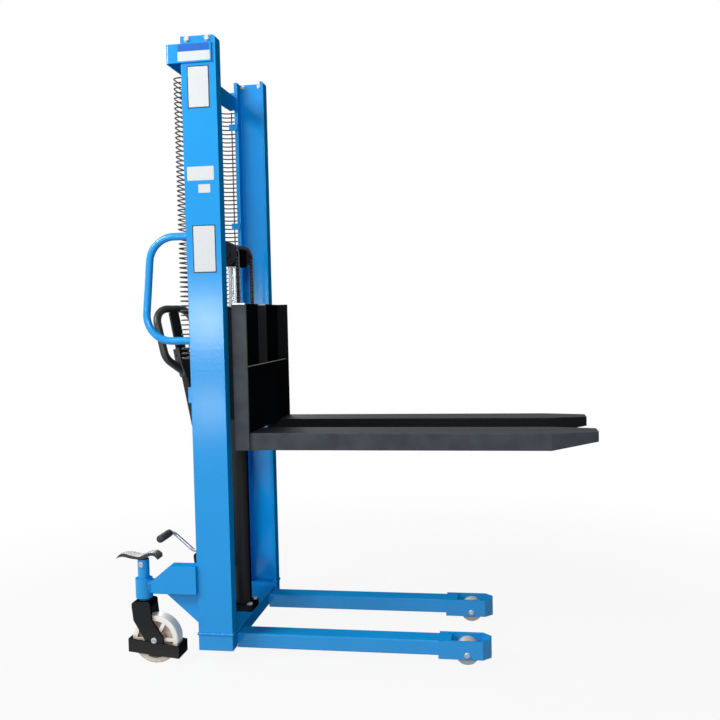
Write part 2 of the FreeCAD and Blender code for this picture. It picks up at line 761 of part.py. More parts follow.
def mesh_panel(width, height, rows, columns):
    """Flat wire panel as one holed face, from the origin along its width (first axis) and height (second)."""
    pitch_w = (width - guard_wire) / columns
    pitch_h = (height - guard_wire) / rows
    wires = [Part.makePolygon([V(a, 0, b) for a, b in rectangle(0, width, 0, height)])]
    for i in range(columns):
        for j in range(rows):
            a0 = guard_wire + i * pitch_w
            b0 = guard_wire + j * pitch_h
            hole = rectangle(a0, a0 + pitch_w - guard_wire, b0, b0 + pitch_h - guard_wire)
            wires.append(Part.makePolygon([V(a, 0, b) for a, b in hole]))
    return Part.Face(wires, "Part::FaceMakerBullseye").extrude(V(0, guard_wire, 0))


def rectangle(a0, a1, b0, b1):
    return [(a0, b0), (a1, b0), (a1, b1), (a0, b1), (a0, b0)]


def mesh_guard():
    """Wire guard behind the masts: a back panel, and a side panel at each end that meets the rear flange."""
    half_wire = guard_wire / 2
    panel = mesh_panel(2 * guard_half_width, guard_height, guard_row_count, guard_columns)
    panel.rotate(V(0, 0, 0), V(0, 0, 1), 90)
    panel.translate(V(guard_x + half_wire, -guard_half_width, guard_bottom))
    side = mesh_panel(guard_setback - half_wire, guard_height, guard_row_count, 1)
    side.translate(V(guard_x + half_wire, -guard_half_width, guard_bottom))
    return Part.makeCompound([panel, side, mirrored(side)])


def guard_clips():
    """Tabs on the right mast's inner edge that the guard's side lies on, and a tab low on its rear face."""
    tabs = [block(mast_back_x - rear_tab_depth, mast_back_x, -handle_y - rear_tab_width / 2,
                  -handle_y + rear_tab_width / 2, rear_tab_bottom, rear_tab_bottom + rear_tab_height)]
    for share in clip_height_shares:
        z = guard_bottom + share * guard_height
        tabs.append(block(mast_back_x - clip_reach, mast_back_x + clip_lap, -mouth_y, -mouth_y + clip_wall,
                          z, z + clip_height))
    return Part.makeCompound(tabs)


# Cylinder
def base_bolt_places():
    offset = cylinder_base_half - base_bolt_margin
    return [(cylinder_x + a * offset, b * offset) for a in (-1, 1) for b in (-1, 1)]


def cylinder_base():
    base = block(cylinder_x - cylinder_base_half, cylinder_x + cylinder_base_half, -cylinder_base_half,
                 cylinder_base_half, crossbeam_top, cylinder_base_top)
    for x, y in base_bolt_places():
        base = base.cut(post(x, y, base_bolt_radius, crossbeam_top - overrun, cylinder_base_top + overrun))
    return base


def base_bolts():
    bolts = []
    for x, y in base_bolt_places():
        bolt = post(x, y, base_bolt_radius, crossbeam_top - crossbeam_wall, cylinder_base_top)
        bolts.append(bolt.fuse(post(x, y, base_bolt_head_radius, cylinder_base_top,
                                    cylinder_base_top + base_bolt_head)))
    return Part.makeCompound(bolts)


def cylinder_barrel():
    barrel = post(cylinder_x, 0, barrel_radius, cylinder_base_top, barrel_top)
    return barrel.cut(post(cylinder_x, 0, barrel_bore_radius, cylinder_base_top + stroke_margin / 2,
                           barrel_top + overrun))


def gland_nut():
    nut = post(cylinder_x, 0, gland_radius, barrel_top, gland_top)
    return nut.cut(post(cylinder_x, 0, rod_radius + run_gap, barrel_top - overrun, gland_top + overrun))


def piston_rod():
    """Chromed rod with its piston inside the barrel."""
    rod = post(cylinder_x, 0, rod_radius, piston_bottom, crosshead_bottom)
    return rod.fuse(post(cylinder_x, 0, barrel_bore_radius - piston_gap, piston_bottom,
                         piston_bottom + piston_height))


def chain_anchor():
    """Collar round the barrel's head, with a bar that holds the still ends of both chains."""
    rear_x = chain_wheel_x - chain_outer_radius - anchor_margin
    front_x = chain_wheel_x - chain_inner_radius + anchor_margin
    half = chain_y + chain_width / 2 + anchor_margin
    bar = block(rear_x, front_x, -half, half, anchor_top - anchor_height, anchor_top)
    collar = post(cylinder_x, 0, barrel_radius + anchor_collar_wall, anchor_top - anchor_height, anchor_top)
    return bar.fuse(collar).cut(post(cylinder_x, 0, barrel_radius, anchor_top - anchor_height - overrun,
                          anchor_top + overrun))


def crosshead():
    """Block on the rod with a fixed pin for a chain wheel each side."""
    top = chain_wheel_z + crosshead_above_axle
    front = chain_wheel_x + crosshead_above_axle
    head = block(cylinder_x - crosshead_rear_half, front, -crosshead_half_width, crosshead_half_width,
                 crosshead_bottom, top)
    pin_end = chain_y + chain_wheel_width / 2 + turn_gap
    head = head.fuse(shaft(chain_wheel_x, chain_wheel_z, chain_wheel_pin_radius, -pin_end, pin_end))
    for y0 in (-pin_end - pin_washer, pin_end):
        head = head.fuse(shaft(chain_wheel_x, chain_wheel_z, pin_washer_radius, y0, y0 + pin_washer))
    return head


def chain_wheel():
    """Right chain wheel: a grooved sheave."""
    half = chain_wheel_width / 2
    wheel = shaft(chain_wheel_x, chain_wheel_z, chain_wheel_radius, -chain_y - half, -chain_y + half)
    groove = shaft(chain_wheel_x, chain_wheel_z, chain_wheel_radius + overrun, -chain_y - groove_width / 2,
                   -chain_y + groove_width / 2)
    groove = groove.cut(shaft(chain_wheel_x, chain_wheel_z, chain_root_radius, -chain_y - groove_width / 2,
                              -chain_y + groove_width / 2))
    wheel = wheel.cut(groove)
    return wheel.cut(shaft(chain_wheel_x, chain_wheel_z, chain_wheel_pin_radius + run_gap,
                           -chain_y - half - overrun, -chain_y + half + overrun))


def chain_wrap():
    """The half turn of the right chain over its wheel."""
    y0 = -chain_y - chain_width / 2
    y1 = -chain_y + chain_width / 2
    ring = shaft(chain_wheel_x, chain_wheel_z, chain_outer_radius, y0, y1)
    ring = ring.cut(shaft(chain_wheel_x, chain_wheel_z, chain_inner_radius, y0 - overrun, y1 + overrun))
    reach = chain_outer_radius + overrun
    return ring.cut(block(chain_wheel_x - reach, chain_wheel_x + reach, y0 - overrun, y1 + overrun,
                          chain_wheel_z - reach, chain_wheel_z))


def chain_run(side, z0):
    """Straight run of the right chain, behind (-1) or in front of (1) its wheel, up to the wheel's axle."""
    middle = (chain_inner_radius + chain_outer_radius) / 2
    x = chain_wheel_x + side * middle
    return block(x - chain_thickness / 2, x + chain_thickness / 2, -chain_y - chain_width / 2,
                 -chain_y + chain_width / 2, z0, chain_wheel_z)


# Carriage
def carriage_back_plate():
    """Back plate with a lug behind it for each chain end."""
    plate = block(carriage_back_x, carriage_back_x + carriage_back_wall, -carriage_inner, carriage_inner,
                  fork_seat, carriage_top)
    front_run_x = chain_wheel_x + (chain_inner_radius + chain_outer_radius) / 2
    for side in (-1, 1):
        y = side * chain_y
        plate = plate.fuse(block(front_run_x - chain_thickness / 2 - lug_wall / 2, carriage_back_x,
                                 y - chain_width / 2 - lug_wall / 2, y + chain_width / 2 + lug_wall / 2,
                                 lug_bottom, lug_bottom + lug_height))
    return plate


def carriage_side_plate():
    return block(carriage_back_x, carriage_front_x, -carriage_half_width, -carriage_inner,
                 fork_bottom, carriage_top)


def carriage_front_plate():
    return block(carriage_front_x - carriage_front_wall, carriage_front_x, -carriage_inner, carriage_inner,
                 fork_seat, fork_top + carriage_front_height)


def carriage_rib():
    """Upright rib in the middle of the carriage, with the shelf that closes the lower box."""
    x0 = carriage_back_x + carriage_back_wall
    x1 = carriage_front_x - carriage_front_wall
    shelf_z = fork_top + carriage_front_height
    rib = block(x0, x1, -rib_wall / 2, rib_wall / 2, fork_seat, carriage_top)
    return rib.fuse(block(x0, x1, -carriage_inner, carriage_inner, shelf_z - shelf_wall, shelf_z))


def roller_bracket():
    """Right bracket behind the carriage, with a stub axle for each mast roller."""
    bracket = block(mast_back_x + bracket_rear_margin, carriage_back_x, -bracket_outer,
                    -bracket_outer + bracket_wall, bracket_bottom, bracket_top)
    for z in roller_heights:
        bracket = bracket.fuse(shaft(mast_mid_x, z, roller_axle_radius, -roller_inner - roller_width,
                                     -bracket_outer))
    return bracket


def mast_roller(z):
    roller = shaft(mast_mid_x, z, roller_radius, -roller_inner - roller_width, -roller_inner)
    roller = roller.makeFillet(roller_edge_round, roller.Edges)
    return roller.cut(shaft(mast_mid_x, z, roller_axle_radius + run_gap,
                            -roller_inner - roller_width - overrun, -roller_inner + overrun))


def fork():
    """Right fork: an inverted channel, open at the rear to come down over the leg, with a tapered tip.
    Its root is let in under the carriage's plates."""
    outer = carriage_inner
    inner = outer - fork_width
    taper_x = fork_tip_x - fork_taper_length
    body = plan_plate(fork_outline(carriage_back_x, taper_x, fork_tip_x, outer, inner, fork_tip_width),
                      fork_bottom, fork_top)
    body = body.makeFillet(fork_edge_round, [e for e in body.Edges if is_fork_edge(e)])
    body = body.cut(block(carriage_back_x - overrun, carriage_front_x, -outer - overrun, -inner + overrun,
                          fork_seat, fork_top + overrun))
    hollow = fork_outline(carriage_back_x - overrun, taper_x, fork_tip_x - fork_wall, outer - fork_wall,
                          inner + fork_wall, fork_tip_width - 2 * fork_wall)
    body = body.cut(plan_plate(hollow, fork_bottom - overrun, fork_top - fork_wall))
    under = side_plate([(taper_x, fork_bottom), (fork_tip_x + overrun, fork_bottom + fork_tip_rise),
                        (fork_tip_x + overrun, fork_bottom - overrun), (taper_x, fork_bottom - overrun)],
                       -outer - overrun, -inner + overrun)
    return body.cut(under)


def is_fork_edge(edge):
    """True for the long upper edges of a fork's block and those of its tip."""
    box = edge.BoundBox
    return box.ZMin > fork_top - tolerance and box.XLength > fork_taper_length / 2


def fork_outline(x0, taper_x, tip_x, outer, inner, tip_width):
    """Plan outline of a fork on the right side."""
    middle = (outer + inner) / 2
    half = tip_width / 2
    return [(x0, -outer), (taper_x, -outer), (tip_x, -middle - half), (tip_x, -middle + half),
            (taper_x, -inner), (x0, -inner)]


# Pump
def pump_shelf():
    """Shelf between the caster arms, with a hole for the oil pipe."""
    rear_x = mast_x - pump_shelf_rear
    front_x = mast_x - pump_shelf_front
    inner = mouth_y - pump_shelf_inset
    shelf = block(rear_x, mast_back_x, -arm_inner, arm_inner, shelf_bottom, shelf_top)
    shelf = shelf.fuse(block(mast_back_x, front_x, -inner, inner, shelf_bottom, shelf_top))
    return shelf.cut(post(tiller_x, -pipe_standoff, pipe_radius + turn_gap, shelf_bottom - overrun,
                          shelf_top + overrun))


def pump_body():
    """Pump tank with a neck for the tiller's yoke, a plunger bore, and a lug and pin for the foot pedal."""
    body = post(tiller_x, 0, pump_radius, shelf_top, pump_top)
    body = body.fuse(post(tiller_x, 0, neck_radius, pump_top, pump_top + neck_height))
    half = pedal_lug_width / 2
    lug = block(tiller_x - pump_radius - pedal_lug_length, tiller_x, -half, half,
                foot_pivot_z - pedal_boss_radius, foot_pivot_z + pedal_boss_radius)
    body = body.fuse(lug)
    body = body.fuse(shaft(foot_pivot_x, foot_pivot_z, pedal_pivot_radius, half,
                           half + turn_gap + pedal_boss_width))
    return body.cut(post(tiller_x, 0, plunger_radius + run_gap, shelf_top + plunger_floor,
                         pump_top + neck_height + overrun))


def plunger_top():
    return tiller_z - tiller_boss_radius - turn_gap


def pump_plunger():
    return post(tiller_x, 0, plunger_radius, plunger_top() - plunger_length, plunger_top())


def oil_pipe():
    """Steel pipe from the side of the pump, down through the shelf, to the side of the cylinder base."""
    out_z = shelf_top + pipe_lift
    in_z = crossbeam_top + pipe_inlet_lift
    points = [V(tiller_x, -pump_radius, out_z), V(tiller_x, -pipe_standoff, out_z),
              V(tiller_x, -pipe_standoff, in_z), V(cylinder_x - pipe_turn, -pipe_standoff, in_z),
              V(cylinder_x - pipe_turn, -cylinder_base_half, in_z)]
    pipe = bent_rod(points, pipe_bend, pipe_radius)
    return pipe.cut(post(tiller_x, 0, pump_radius, out_z - pump_radius, out_z + pump_radius))


# Tiller, modelled upright and square, then leaned and turned about its pivot
def turned(shape):
    shape.rotate(V(tiller_x, 0, tiller_z), V(0, 0, 1), tiller_turn)
    return shape


def leaned(shape):
    shape.rotate(V(tiller_x, 0, tiller_z), V(0, 1, 0), -tiller_lean)
    return turned(shape)


def tiller_yoke():
    """Ring that turns on the pump's neck, with two ears and the tiller's pin."""
    ring_top = pump_top + neck_height
    ring = post(tiller_x, 0, yoke_ring_radius, pump_top + turn_gap, ring_top)
    ear_outer = yoke_ear_half + yoke_ear_wall
    for y in (-ear_outer, yoke_ear_half):
        ring = ring.fuse(block(tiller_x - tiller_boss_radius, tiller_x + tiller_boss_radius, y,
                               y + yoke_ear_wall, pump_top + turn_gap, tiller_z + tiller_pin_radius * 2))
    ring = ring.cut(post(tiller_x, 0, neck_radius + run_gap, pump_top - overrun, ring_top + run_gap))
    return turned(ring.fuse(shaft(tiller_x, tiller_z, tiller_pin_radius, -ear_outer, ear_outer)))


def tiller_shaft():
    """Tapered shaft with a boss on the pin."""
    boss = shaft(tiller_x, tiller_z, tiller_boss_radius, -tiller_boss_half, tiller_boss_half)
    rod = Part.makeCone(shaft_low_radius, shaft_high_radius, shaft_length, V(tiller_x, 0, tiller_z))
    rod = rod.fuse(boss)
    return leaned(rod.cut(shaft(tiller_x, tiller_z, tiller_pin_radius + run_gap, -tiller_boss_half - overrun,
                                tiller_boss_half + overrun)))


def tiller_loop():
    """Head on the shaft with a closed grip loop, slotted for the release lever."""
    head_top = head_bottom + head_height
    shoulder_z = head_bottom + head_taper
    points = [(-shaft_high_radius, head_bottom), (shaft_high_radius, head_bottom),
              (head_half_width, shoulder_z), (head_half_width, head_top), (-head_half_width, head_top),
              (-head_half_width, shoulder_z)]
    head = cross_plate(points, tiller_x - head_half_depth, tiller_x + head_half_depth)
    head = head.makeFillet(head_edge_round, [e for e in head.Edges if e.BoundBox.ZLength > head_edge_round])
    root = V(tiller_x, 0, head_bottom + loop_start)
    side_z = head_bottom + loop_side_start
    top_z = head_bottom + loop_top
    points = [root, V(tiller_x, -loop_low_half_width, side_z), V(tiller_x, -loop_half_width, top_z),
              V(tiller_x, loop_half_width, top_z), V(tiller_x, loop_low_half_width, side_z), root]
    head = head.fuse(bent_rod(points, loop_bend, loop_radius))
    slot_half = lever_half_width + turn_gap
    slot_bottom = head_bottom + lever_pivot - lever_tail - turn_gap
    slot_depth = head_half_depth + overrun
    head = head.cut(block(tiller_x - slot_depth, tiller_x + slot_depth, -slot_half, slot_half,
                          slot_bottom, head_top + overrun))
    return leaned(head.cut(shaft(tiller_x, head_bottom + lever_pivot, lever_pin_radius + run_gap,
                                 -head_half_width - overrun, head_half_width + overrun)))


def release_lever():
    """Lever in the loop, with its pin and a small trigger behind."""
    pivot_z = head_bottom + lever_pivot
    lever = block(tiller_x - lever_wall / 2, tiller_x + lever_wall / 2, -lever_half_width, lever_half_width,
                  pivot_z, pivot_z + lever_length)
    lever = lever.fuse(shaft(tiller_x, pivot_z, lever_tail - turn_gap, -lever_half_width, lever_half_width))
    trigger_z = pivot_z + trigger_lift
    lever = lever.fuse(block(tiller_x - lever_wall / 2 - trigger_length, tiller_x, -trigger_width / 2,
                             trigger_width / 2, trigger_z, trigger_z + trigger_height))
    return leaned(lever.fuse(shaft(tiller_x, pivot_z, lever_pin_radius, -head_half_width, head_half_width)))


# Foot pedal
def foot_boss_y():
    return pedal_lug_width / 2 + turn_gap


def foot_pedal():
    """Bent rod on the pump's pin that carries the foot grip."""
    y0 = foot_boss_y()
    y_mid = y0 + pedal_boss_width / 2
    grip_x = foot_pivot_x - foot_pedal_reach
    grip_z = foot_pivot_z + foot_pedal_rise
    points = [V(foot_pivot_x, y_mid, foot_pivot_z),
              V(foot_pivot_x - foot_rod_run, y_mid, foot_pivot_z + foot_rod_run_rise),
              V(grip_x, y_mid, grip_z), V(grip_x, y_mid - foot_grip_length - foot_rod_bend, grip_z)]
    rod = bent_rod(points, foot_rod_bend, foot_rod_radius)
    rod = rod.fuse(shaft(foot_pivot_x, foot_pivot_z, pedal_boss_radius, y0, y0 + pedal_boss_width))
    return rod.cut(shaft(foot_pivot_x, foot_pivot_z, pedal_pivot_radius + run_gap, y0 - overrun,
                         y0 + pedal_boss_width + overrun))


def foot_grip():
    """Rubber sleeve over the end of the pedal rod, closed at the tip."""
    y_mid = foot_boss_y() + pedal_boss_width / 2
    tip_y = y_mid - foot_grip_length - foot_rod_bend
    grip_x = foot_pivot_x - foot_pedal_reach
    grip_z = foot_pivot_z + foot_pedal_rise
    grip = shaft(grip_x, grip_z, foot_grip_radius, tip_y - foot_rod_tail, tip_y + foot_grip_length)
    grip = grip.makeFillet(foot_grip_round, grip.Edges)
    return grip.cut(shaft(grip_x, grip_z, foot_rod_radius, tip_y, tip_y + foot_grip_length + overrun))


# Write every node
save_sides("mast_channel", mast_channel())
save("mast_feet", pair(mast_foot()))
save("head_band", head_band())
save("top_tie", top_tie())
save("head_bolts", pair(head_bolts()))
save("base_crossbeam", base_crossbeam())
save("legs", pair(leg()))
save("leg_ends", pair(leg_end()))
save("front_roller_axles", pair(front_roller_axle()))
save_sides("front_roller", front_roller())
save("caster_arms", pair(caster_arm()))
save("swivel_collars", pair(swivel_collar()))
save("king_tube_right", braked_king_tube())
save("king_tube_left", mirrored(king_tube()))
save("king_cap_left", mirrored(king_cap()))
save_sides("caster_fork", caster_fork())
save("caster_bolts_right", Part.makeCompound([caster_axle(), pedal_bolt()]))
save("caster_axle_left", mirrored(caster_axle()))
save_sides("caster_wheel", caster_wheel())
save("brake_pedal", brake_pedal())
save("push_handles", pair(push_handle()))
save("mesh_guard", mesh_guard())
save("guard_clips", pair(guard_clips()))
save("cylinder_base", cylinder_base())
save("base_bolts", base_bolts())
save("cylinder_barrel", cylinder_barrel())
save("gland_nut", gland_nut())
save("piston_rod", piston_rod())
save("chain_anchor", chain_anchor())
save("crosshead", crosshead())
save_sides("chain_wheel", chain_wheel())
save("chain_wraps", pair(chain_wrap()))
save("rear_chains", pair(chain_run(-1, anchor_top)))
save("front_chains", pair(chain_run(1, lug_bottom + lug_height)))
save("carriage_back_plate", carriage_back_plate())
save("carriage_side_plates", pair(carriage_side_plate()))
save("carriage_front_plate", carriage_front_plate())
save("carriage_rib", carriage_rib())
save("roller_brackets", pair(roller_bracket()))
save_sides("lower_mast_roller", mast_roller(roller_heights[0]))
save_sides("upper_mast_roller", mast_roller(roller_heights[1]))
save_sides("fork", fork())
save("pump_shelf", pump_shelf())
save("pump_body", pump_body())
save("pump_plunger", pump_plunger())
save("oil_pipe", oil_pipe())
save("tiller_yoke", tiller_yoke())
save("tiller_shaft", tiller_shaft())
save("tiller_loop", tiller_loop())
save("release_lever", release_lever())
save("foot_pedal", foot_pedal())
save("foot_grip", foot_grip())
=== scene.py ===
import math

import bmesh
import bpy
import numpy as np
from bpy.props import FloatProperty, FloatVectorProperty, PointerProperty
from mathutils import Matrix, Vector


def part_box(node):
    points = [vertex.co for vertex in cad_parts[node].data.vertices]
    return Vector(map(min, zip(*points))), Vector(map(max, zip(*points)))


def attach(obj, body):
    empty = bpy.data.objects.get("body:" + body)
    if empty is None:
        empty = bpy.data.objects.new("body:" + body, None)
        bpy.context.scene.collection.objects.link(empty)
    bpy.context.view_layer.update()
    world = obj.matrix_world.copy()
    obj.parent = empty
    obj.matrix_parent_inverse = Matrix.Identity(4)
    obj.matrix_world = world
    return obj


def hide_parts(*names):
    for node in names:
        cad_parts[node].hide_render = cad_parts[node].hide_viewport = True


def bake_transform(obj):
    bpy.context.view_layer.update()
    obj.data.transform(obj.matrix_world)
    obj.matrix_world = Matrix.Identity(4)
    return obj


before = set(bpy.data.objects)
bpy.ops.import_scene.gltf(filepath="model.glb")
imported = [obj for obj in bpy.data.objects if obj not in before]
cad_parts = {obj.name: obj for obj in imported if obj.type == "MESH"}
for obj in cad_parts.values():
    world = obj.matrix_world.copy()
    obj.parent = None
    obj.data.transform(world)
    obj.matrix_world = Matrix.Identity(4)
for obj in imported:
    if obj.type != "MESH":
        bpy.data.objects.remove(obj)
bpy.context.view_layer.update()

bl_info = {
    "name": "Hand pallet stacker finishes",
    "version": (1, 0, 0),
    "blender": (4, 5, 0),
    "location": "View3D > Sidebar > Stacker",
    "description": "Dresses the solids of a hand pallet stacker with paint, wire, chain and small parts",
    "category": "Object",
}

MM = 0.001
TURN = 2 * math.pi
MERGE = 1e-6  # metres, points closer than this are one point
X, Y, Z = np.eye(3)

# Places that the pieces are set against, read from the solids in metres
MAST_LOW, MAST_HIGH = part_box("mast_channel_right")
MAST_FRONT = MAST_HIGH.x
MAST_BACK = MAST_LOW.x
WEB_FACE = MAST_LOW.y
MOUTH = MAST_HIGH.y
FOOT_TOP = MAST_LOW.z


def linear(code):
    """Linear RGBA of an sRGB hex colour such as #1E86DB."""
    srgb = np.array([int(code[i:i + 2], 16) for i in (1, 3, 5)]) / 255
    rgb = np.where(srgb <= 0.04045, srgb / 12.92, ((srgb + 0.055) / 1.055) ** 2.4)
    return (*rgb.tolist(), 1.0)


# Meshes

def grid_faces(copies, rows, columns):
    """Corner numbers of the quads between neighbouring points, for a stack of equal grids."""
    number = np.arange(copies * rows * columns).reshape(copies, rows, columns)
    corners = (number[:, :-1, :-1], number[:, 1:, :-1], number[:, 1:, 1:], number[:, :-1, 1:])
    return np.stack(corners, axis=-1).reshape(-1, 4)


def make_piece(name, grids, finish, crease=40):
    """One mesh from grids of points in metres, shaped (..., rows, columns, 3): each four neighbouring points
    are a face. A closed surface repeats its first row or column at its last and shrinks a row to a point at a
    pole, and points in one place are then merged."""
    points = []
    faces = []
    count = 0
    for grid in grids:
        grid = np.asarray(grid, float).reshape((-1,) + np.shape(grid)[-3:])
        points.append(grid.reshape(-1, 3))
        faces.append(grid_faces(*grid.shape[:3]) + count)
        count += len(points[-1])
    mesh = bpy.data.meshes.new(name)
    mesh.from_pydata(np.concatenate(points).tolist(), [], np.concatenate(faces).tolist())
    shape = bmesh.new()
    shape.from_mesh(mesh)
    bmesh.ops.remove_doubles(shape, verts=shape.verts, dist=MERGE)
    bmesh.ops.dissolve_degenerate(shape, dist=MERGE, edges=shape.edges)
    bmesh.ops.recalc_face_normals(shape, faces=shape.faces)
    shape.to_mesh(mesh)
    shape.free()
    mesh.polygons.foreach_set("use_smooth", np.ones(len(mesh.polygons), bool))
    mesh.set_sharp_from_angle(angle=math.radians(crease))
    mesh.materials.append(finish)
    piece = bpy.data.objects.new(name, mesh)
    bpy.context.scene.collection.objects.link(piece)
    return piece


def both_sides(grids):
    """The grids, and their mirror images across the centre plane."""
    return grids + [np.asarray(grid) * (1, -1, 1) for grid in grids]


def pole(point, columns):
    """A row of equal points, which closes a surface."""
    return np.repeat(np.asarray(point)[..., None, None, :], columns, axis=-2)


def tube(path, binormal, radius, sides=10):
    """Round bar: a circle of the given radius carried along a path (..., points, 3) that lies in a plane
    square to binormal, with a flat cap at each end."""
    path = np.asarray(path, float)
    tangent = np.gradient(path, axis=-2)
    tangent /= np.linalg.norm(tangent, axis=-1, keepdims=True)
    normal = np.cross(binormal, tangent)
    angle = np.linspace(0, TURN, sides + 1)[:, None]
    ring = np.cos(angle) * normal[..., None, :] + np.sin(angle) * np.asarray(binormal, float)
    radius = np.broadcast_to(radius, path.shape[:-1])[..., None, None]
    body = path[..., None, :] + radius * ring
    ends = [pole(path[..., i, :], sides + 1) for i in (0, -1)]
    return np.concatenate([ends[0], body, ends[1]], axis=-3)


def turned(profile, centre, axis, sides=24, flats=6):
    """Turned part: rows of radius, height along the axis, and a share from 0, round, to 1, a polygon whose flats
    lie at that radius."""
    radius, height, flat = np.asarray(profile, float).T[:, :, None]
    axis = np.asarray(axis, float)
    across = np.cross(axis, X if abs(axis[0]) < 0.9 else Y)
    across /= np.linalg.norm(across)
    angle = np.linspace(0, TURN, sides + 1)[None, :]
    step = TURN / flats
    reach = radius * (1 + flat * (1 / np.cos(angle % step - step / 2) - 1))
    wide = np.cos(angle)[..., None] * across + np.sin(angle)[..., None] * np.cross(axis, across)
    return np.asarray(centre) + height[..., None] * axis + reach[..., None] * wide


def hex_bolt(centre, axis, radius, height):
    """Washer and chamfered hexagon head that stand on a face at centre and look along axis."""
    washer = 0.22 * height
    profile = [(0, 0, 0), (1.12 * radius, 0, 0), (1.12 * radius, washer, 0), (0.9 * radius, washer, 1),
               (0.9 * radius, 0.86 * height, 1), (0.8 * radius, height, 0.2), (0.45 * radius, height, 0),
               (0.4 * radius, 0.95 * height, 0), (0, 0.93 * height, 0)]
    return turned(profile, centre, axis)


def plate(width, height, thickness, centre, right, up, corner=2.5 * MM):
    """Thin plate: a rectangle whose corners are quarter circles, raised through a small chamfer and closed by a pole
    on each face."""
    corner = min(corner, 0.4 * width, 0.4 * height)
    angle = (np.arange(4)[:, None] + np.linspace(0, 1, 6)) * TURN / 4
    signs = np.array([(1, 1), (-1, 1), (-1, -1), (1, -1)])[:, None]
    arcs = signs * (np.array([width, height]) / 2 - corner) + corner * np.stack([np.cos(angle), np.sin(angle)], axis=-1)
    flat = np.concatenate([arcs.reshape(-1, 2), arcs[0, :1]])
    right, up = np.asarray(right, float), np.asarray(up, float)
    out = np.cross(right, up)
    face = flat[:, :1] * right + flat[:, 1:] * up
    # Shares of the outline and of the thickness, with a row just inside each rim that keeps the faces flat
    chamfer = 1 - thickness / height
    rows = [(0, 0), (0.98, 0), (1, 0), (1, 0.6), (chamfer, 1), (chamfer - 0.03, 1), (0, 1)]
    return np.stack([np.asarray(centre) + a * face + b * thickness * out for a, b in rows])


def rounded_path(points, bend, steps=6):
    """Straight runs between the points, with each inner corner rounded by an arc of radius bend: the arc's points
    are the corner's centre of bend plus bend times a unit vector that swings from one run's normal to the next."""
    points = np.asarray(points, float)
    path = [points[:1]]
    for before, corner, after in zip(points, points[1:], points[2:]):
        back = (before - corner) / np.linalg.norm(before - corner)
        on = (after - corner) / np.linalg.norm(after - corner)
        half = math.acos(float(back @ on)) / 2
        middle = (back + on) / np.linalg.norm(back + on)
        centre = corner + middle * bend / math.sin(half)
        first = corner + back * bend / math.tan(half) - centre
        last = corner + on * bend / math.tan(half) - centre
        swing = np.linspace(0, 1, steps)[:, None] * (math.pi - 2 * half)
        path.append(centre + (first * np.sin(math.pi - 2 * half - swing) + last * np.sin(swing))
                    / math.sin(math.pi - 2 * half))
    path.append(points[-1:])
    return np.concatenate(path)


def bead(path, binormal, radius, ripple):
    """Weld bead: a bar along the path whose radius swells once for each ripple,
    r(s) = r (0.72 + 0.28 |sin(pi s / ripple)|), and tapers at both ends."""
    path = np.asarray(path, float)
    length = np.concatenate([[0], np.cumsum(np.linalg.norm(np.diff(path, axis=0), axis=1))])
    s = np.linspace(0, length[-1], max(8, int(4 * length[-1] / ripple)))
    fine = np.stack([np.interp(s, length, path[:, i]) for i in range(3)], axis=-1)
    taper = np.clip(np.minimum(s, length[-1] - s) / (2 * radius), 0.25, 1)
    return tube(fine, binormal, radius * taper * (0.72 + 0.28 * np.abs(np.sin(math.pi * s / ripple))), sides=8)


# Materials

def add(tree, kind, links=None, **settings):
    """Adds a shader node, sets its fields, and fills its inputs with values or with links from other sockets."""
    new = tree.nodes.new("ShaderNode" + kind)
    for field, value in settings.items():
        setattr(new, field, value)
    fill(tree, new, links or {})
    return new


def fill(tree, shader, links):
    """Sets a node's inputs from values or from other sockets."""
    for socket, value in links.items():
        if isinstance(value, bpy.types.NodeSocket):
            tree.links.new(value, shader.inputs[socket])
        else:
            shader.inputs[socket].default_value = value


def start(name):
    """A new material with its node tree, its shader and the Object coordinates."""
    finish = bpy.data.materials.new(name)
    finish.use_nodes = True
    tree = finish.node_tree
    return finish, tree, tree.nodes["Principled BSDF"], add(tree, "TexCoord").outputs["Object"]


def per(size):
    """Texture scale for a pattern of the given size in millimetres."""
    return 1 / (size * MM)


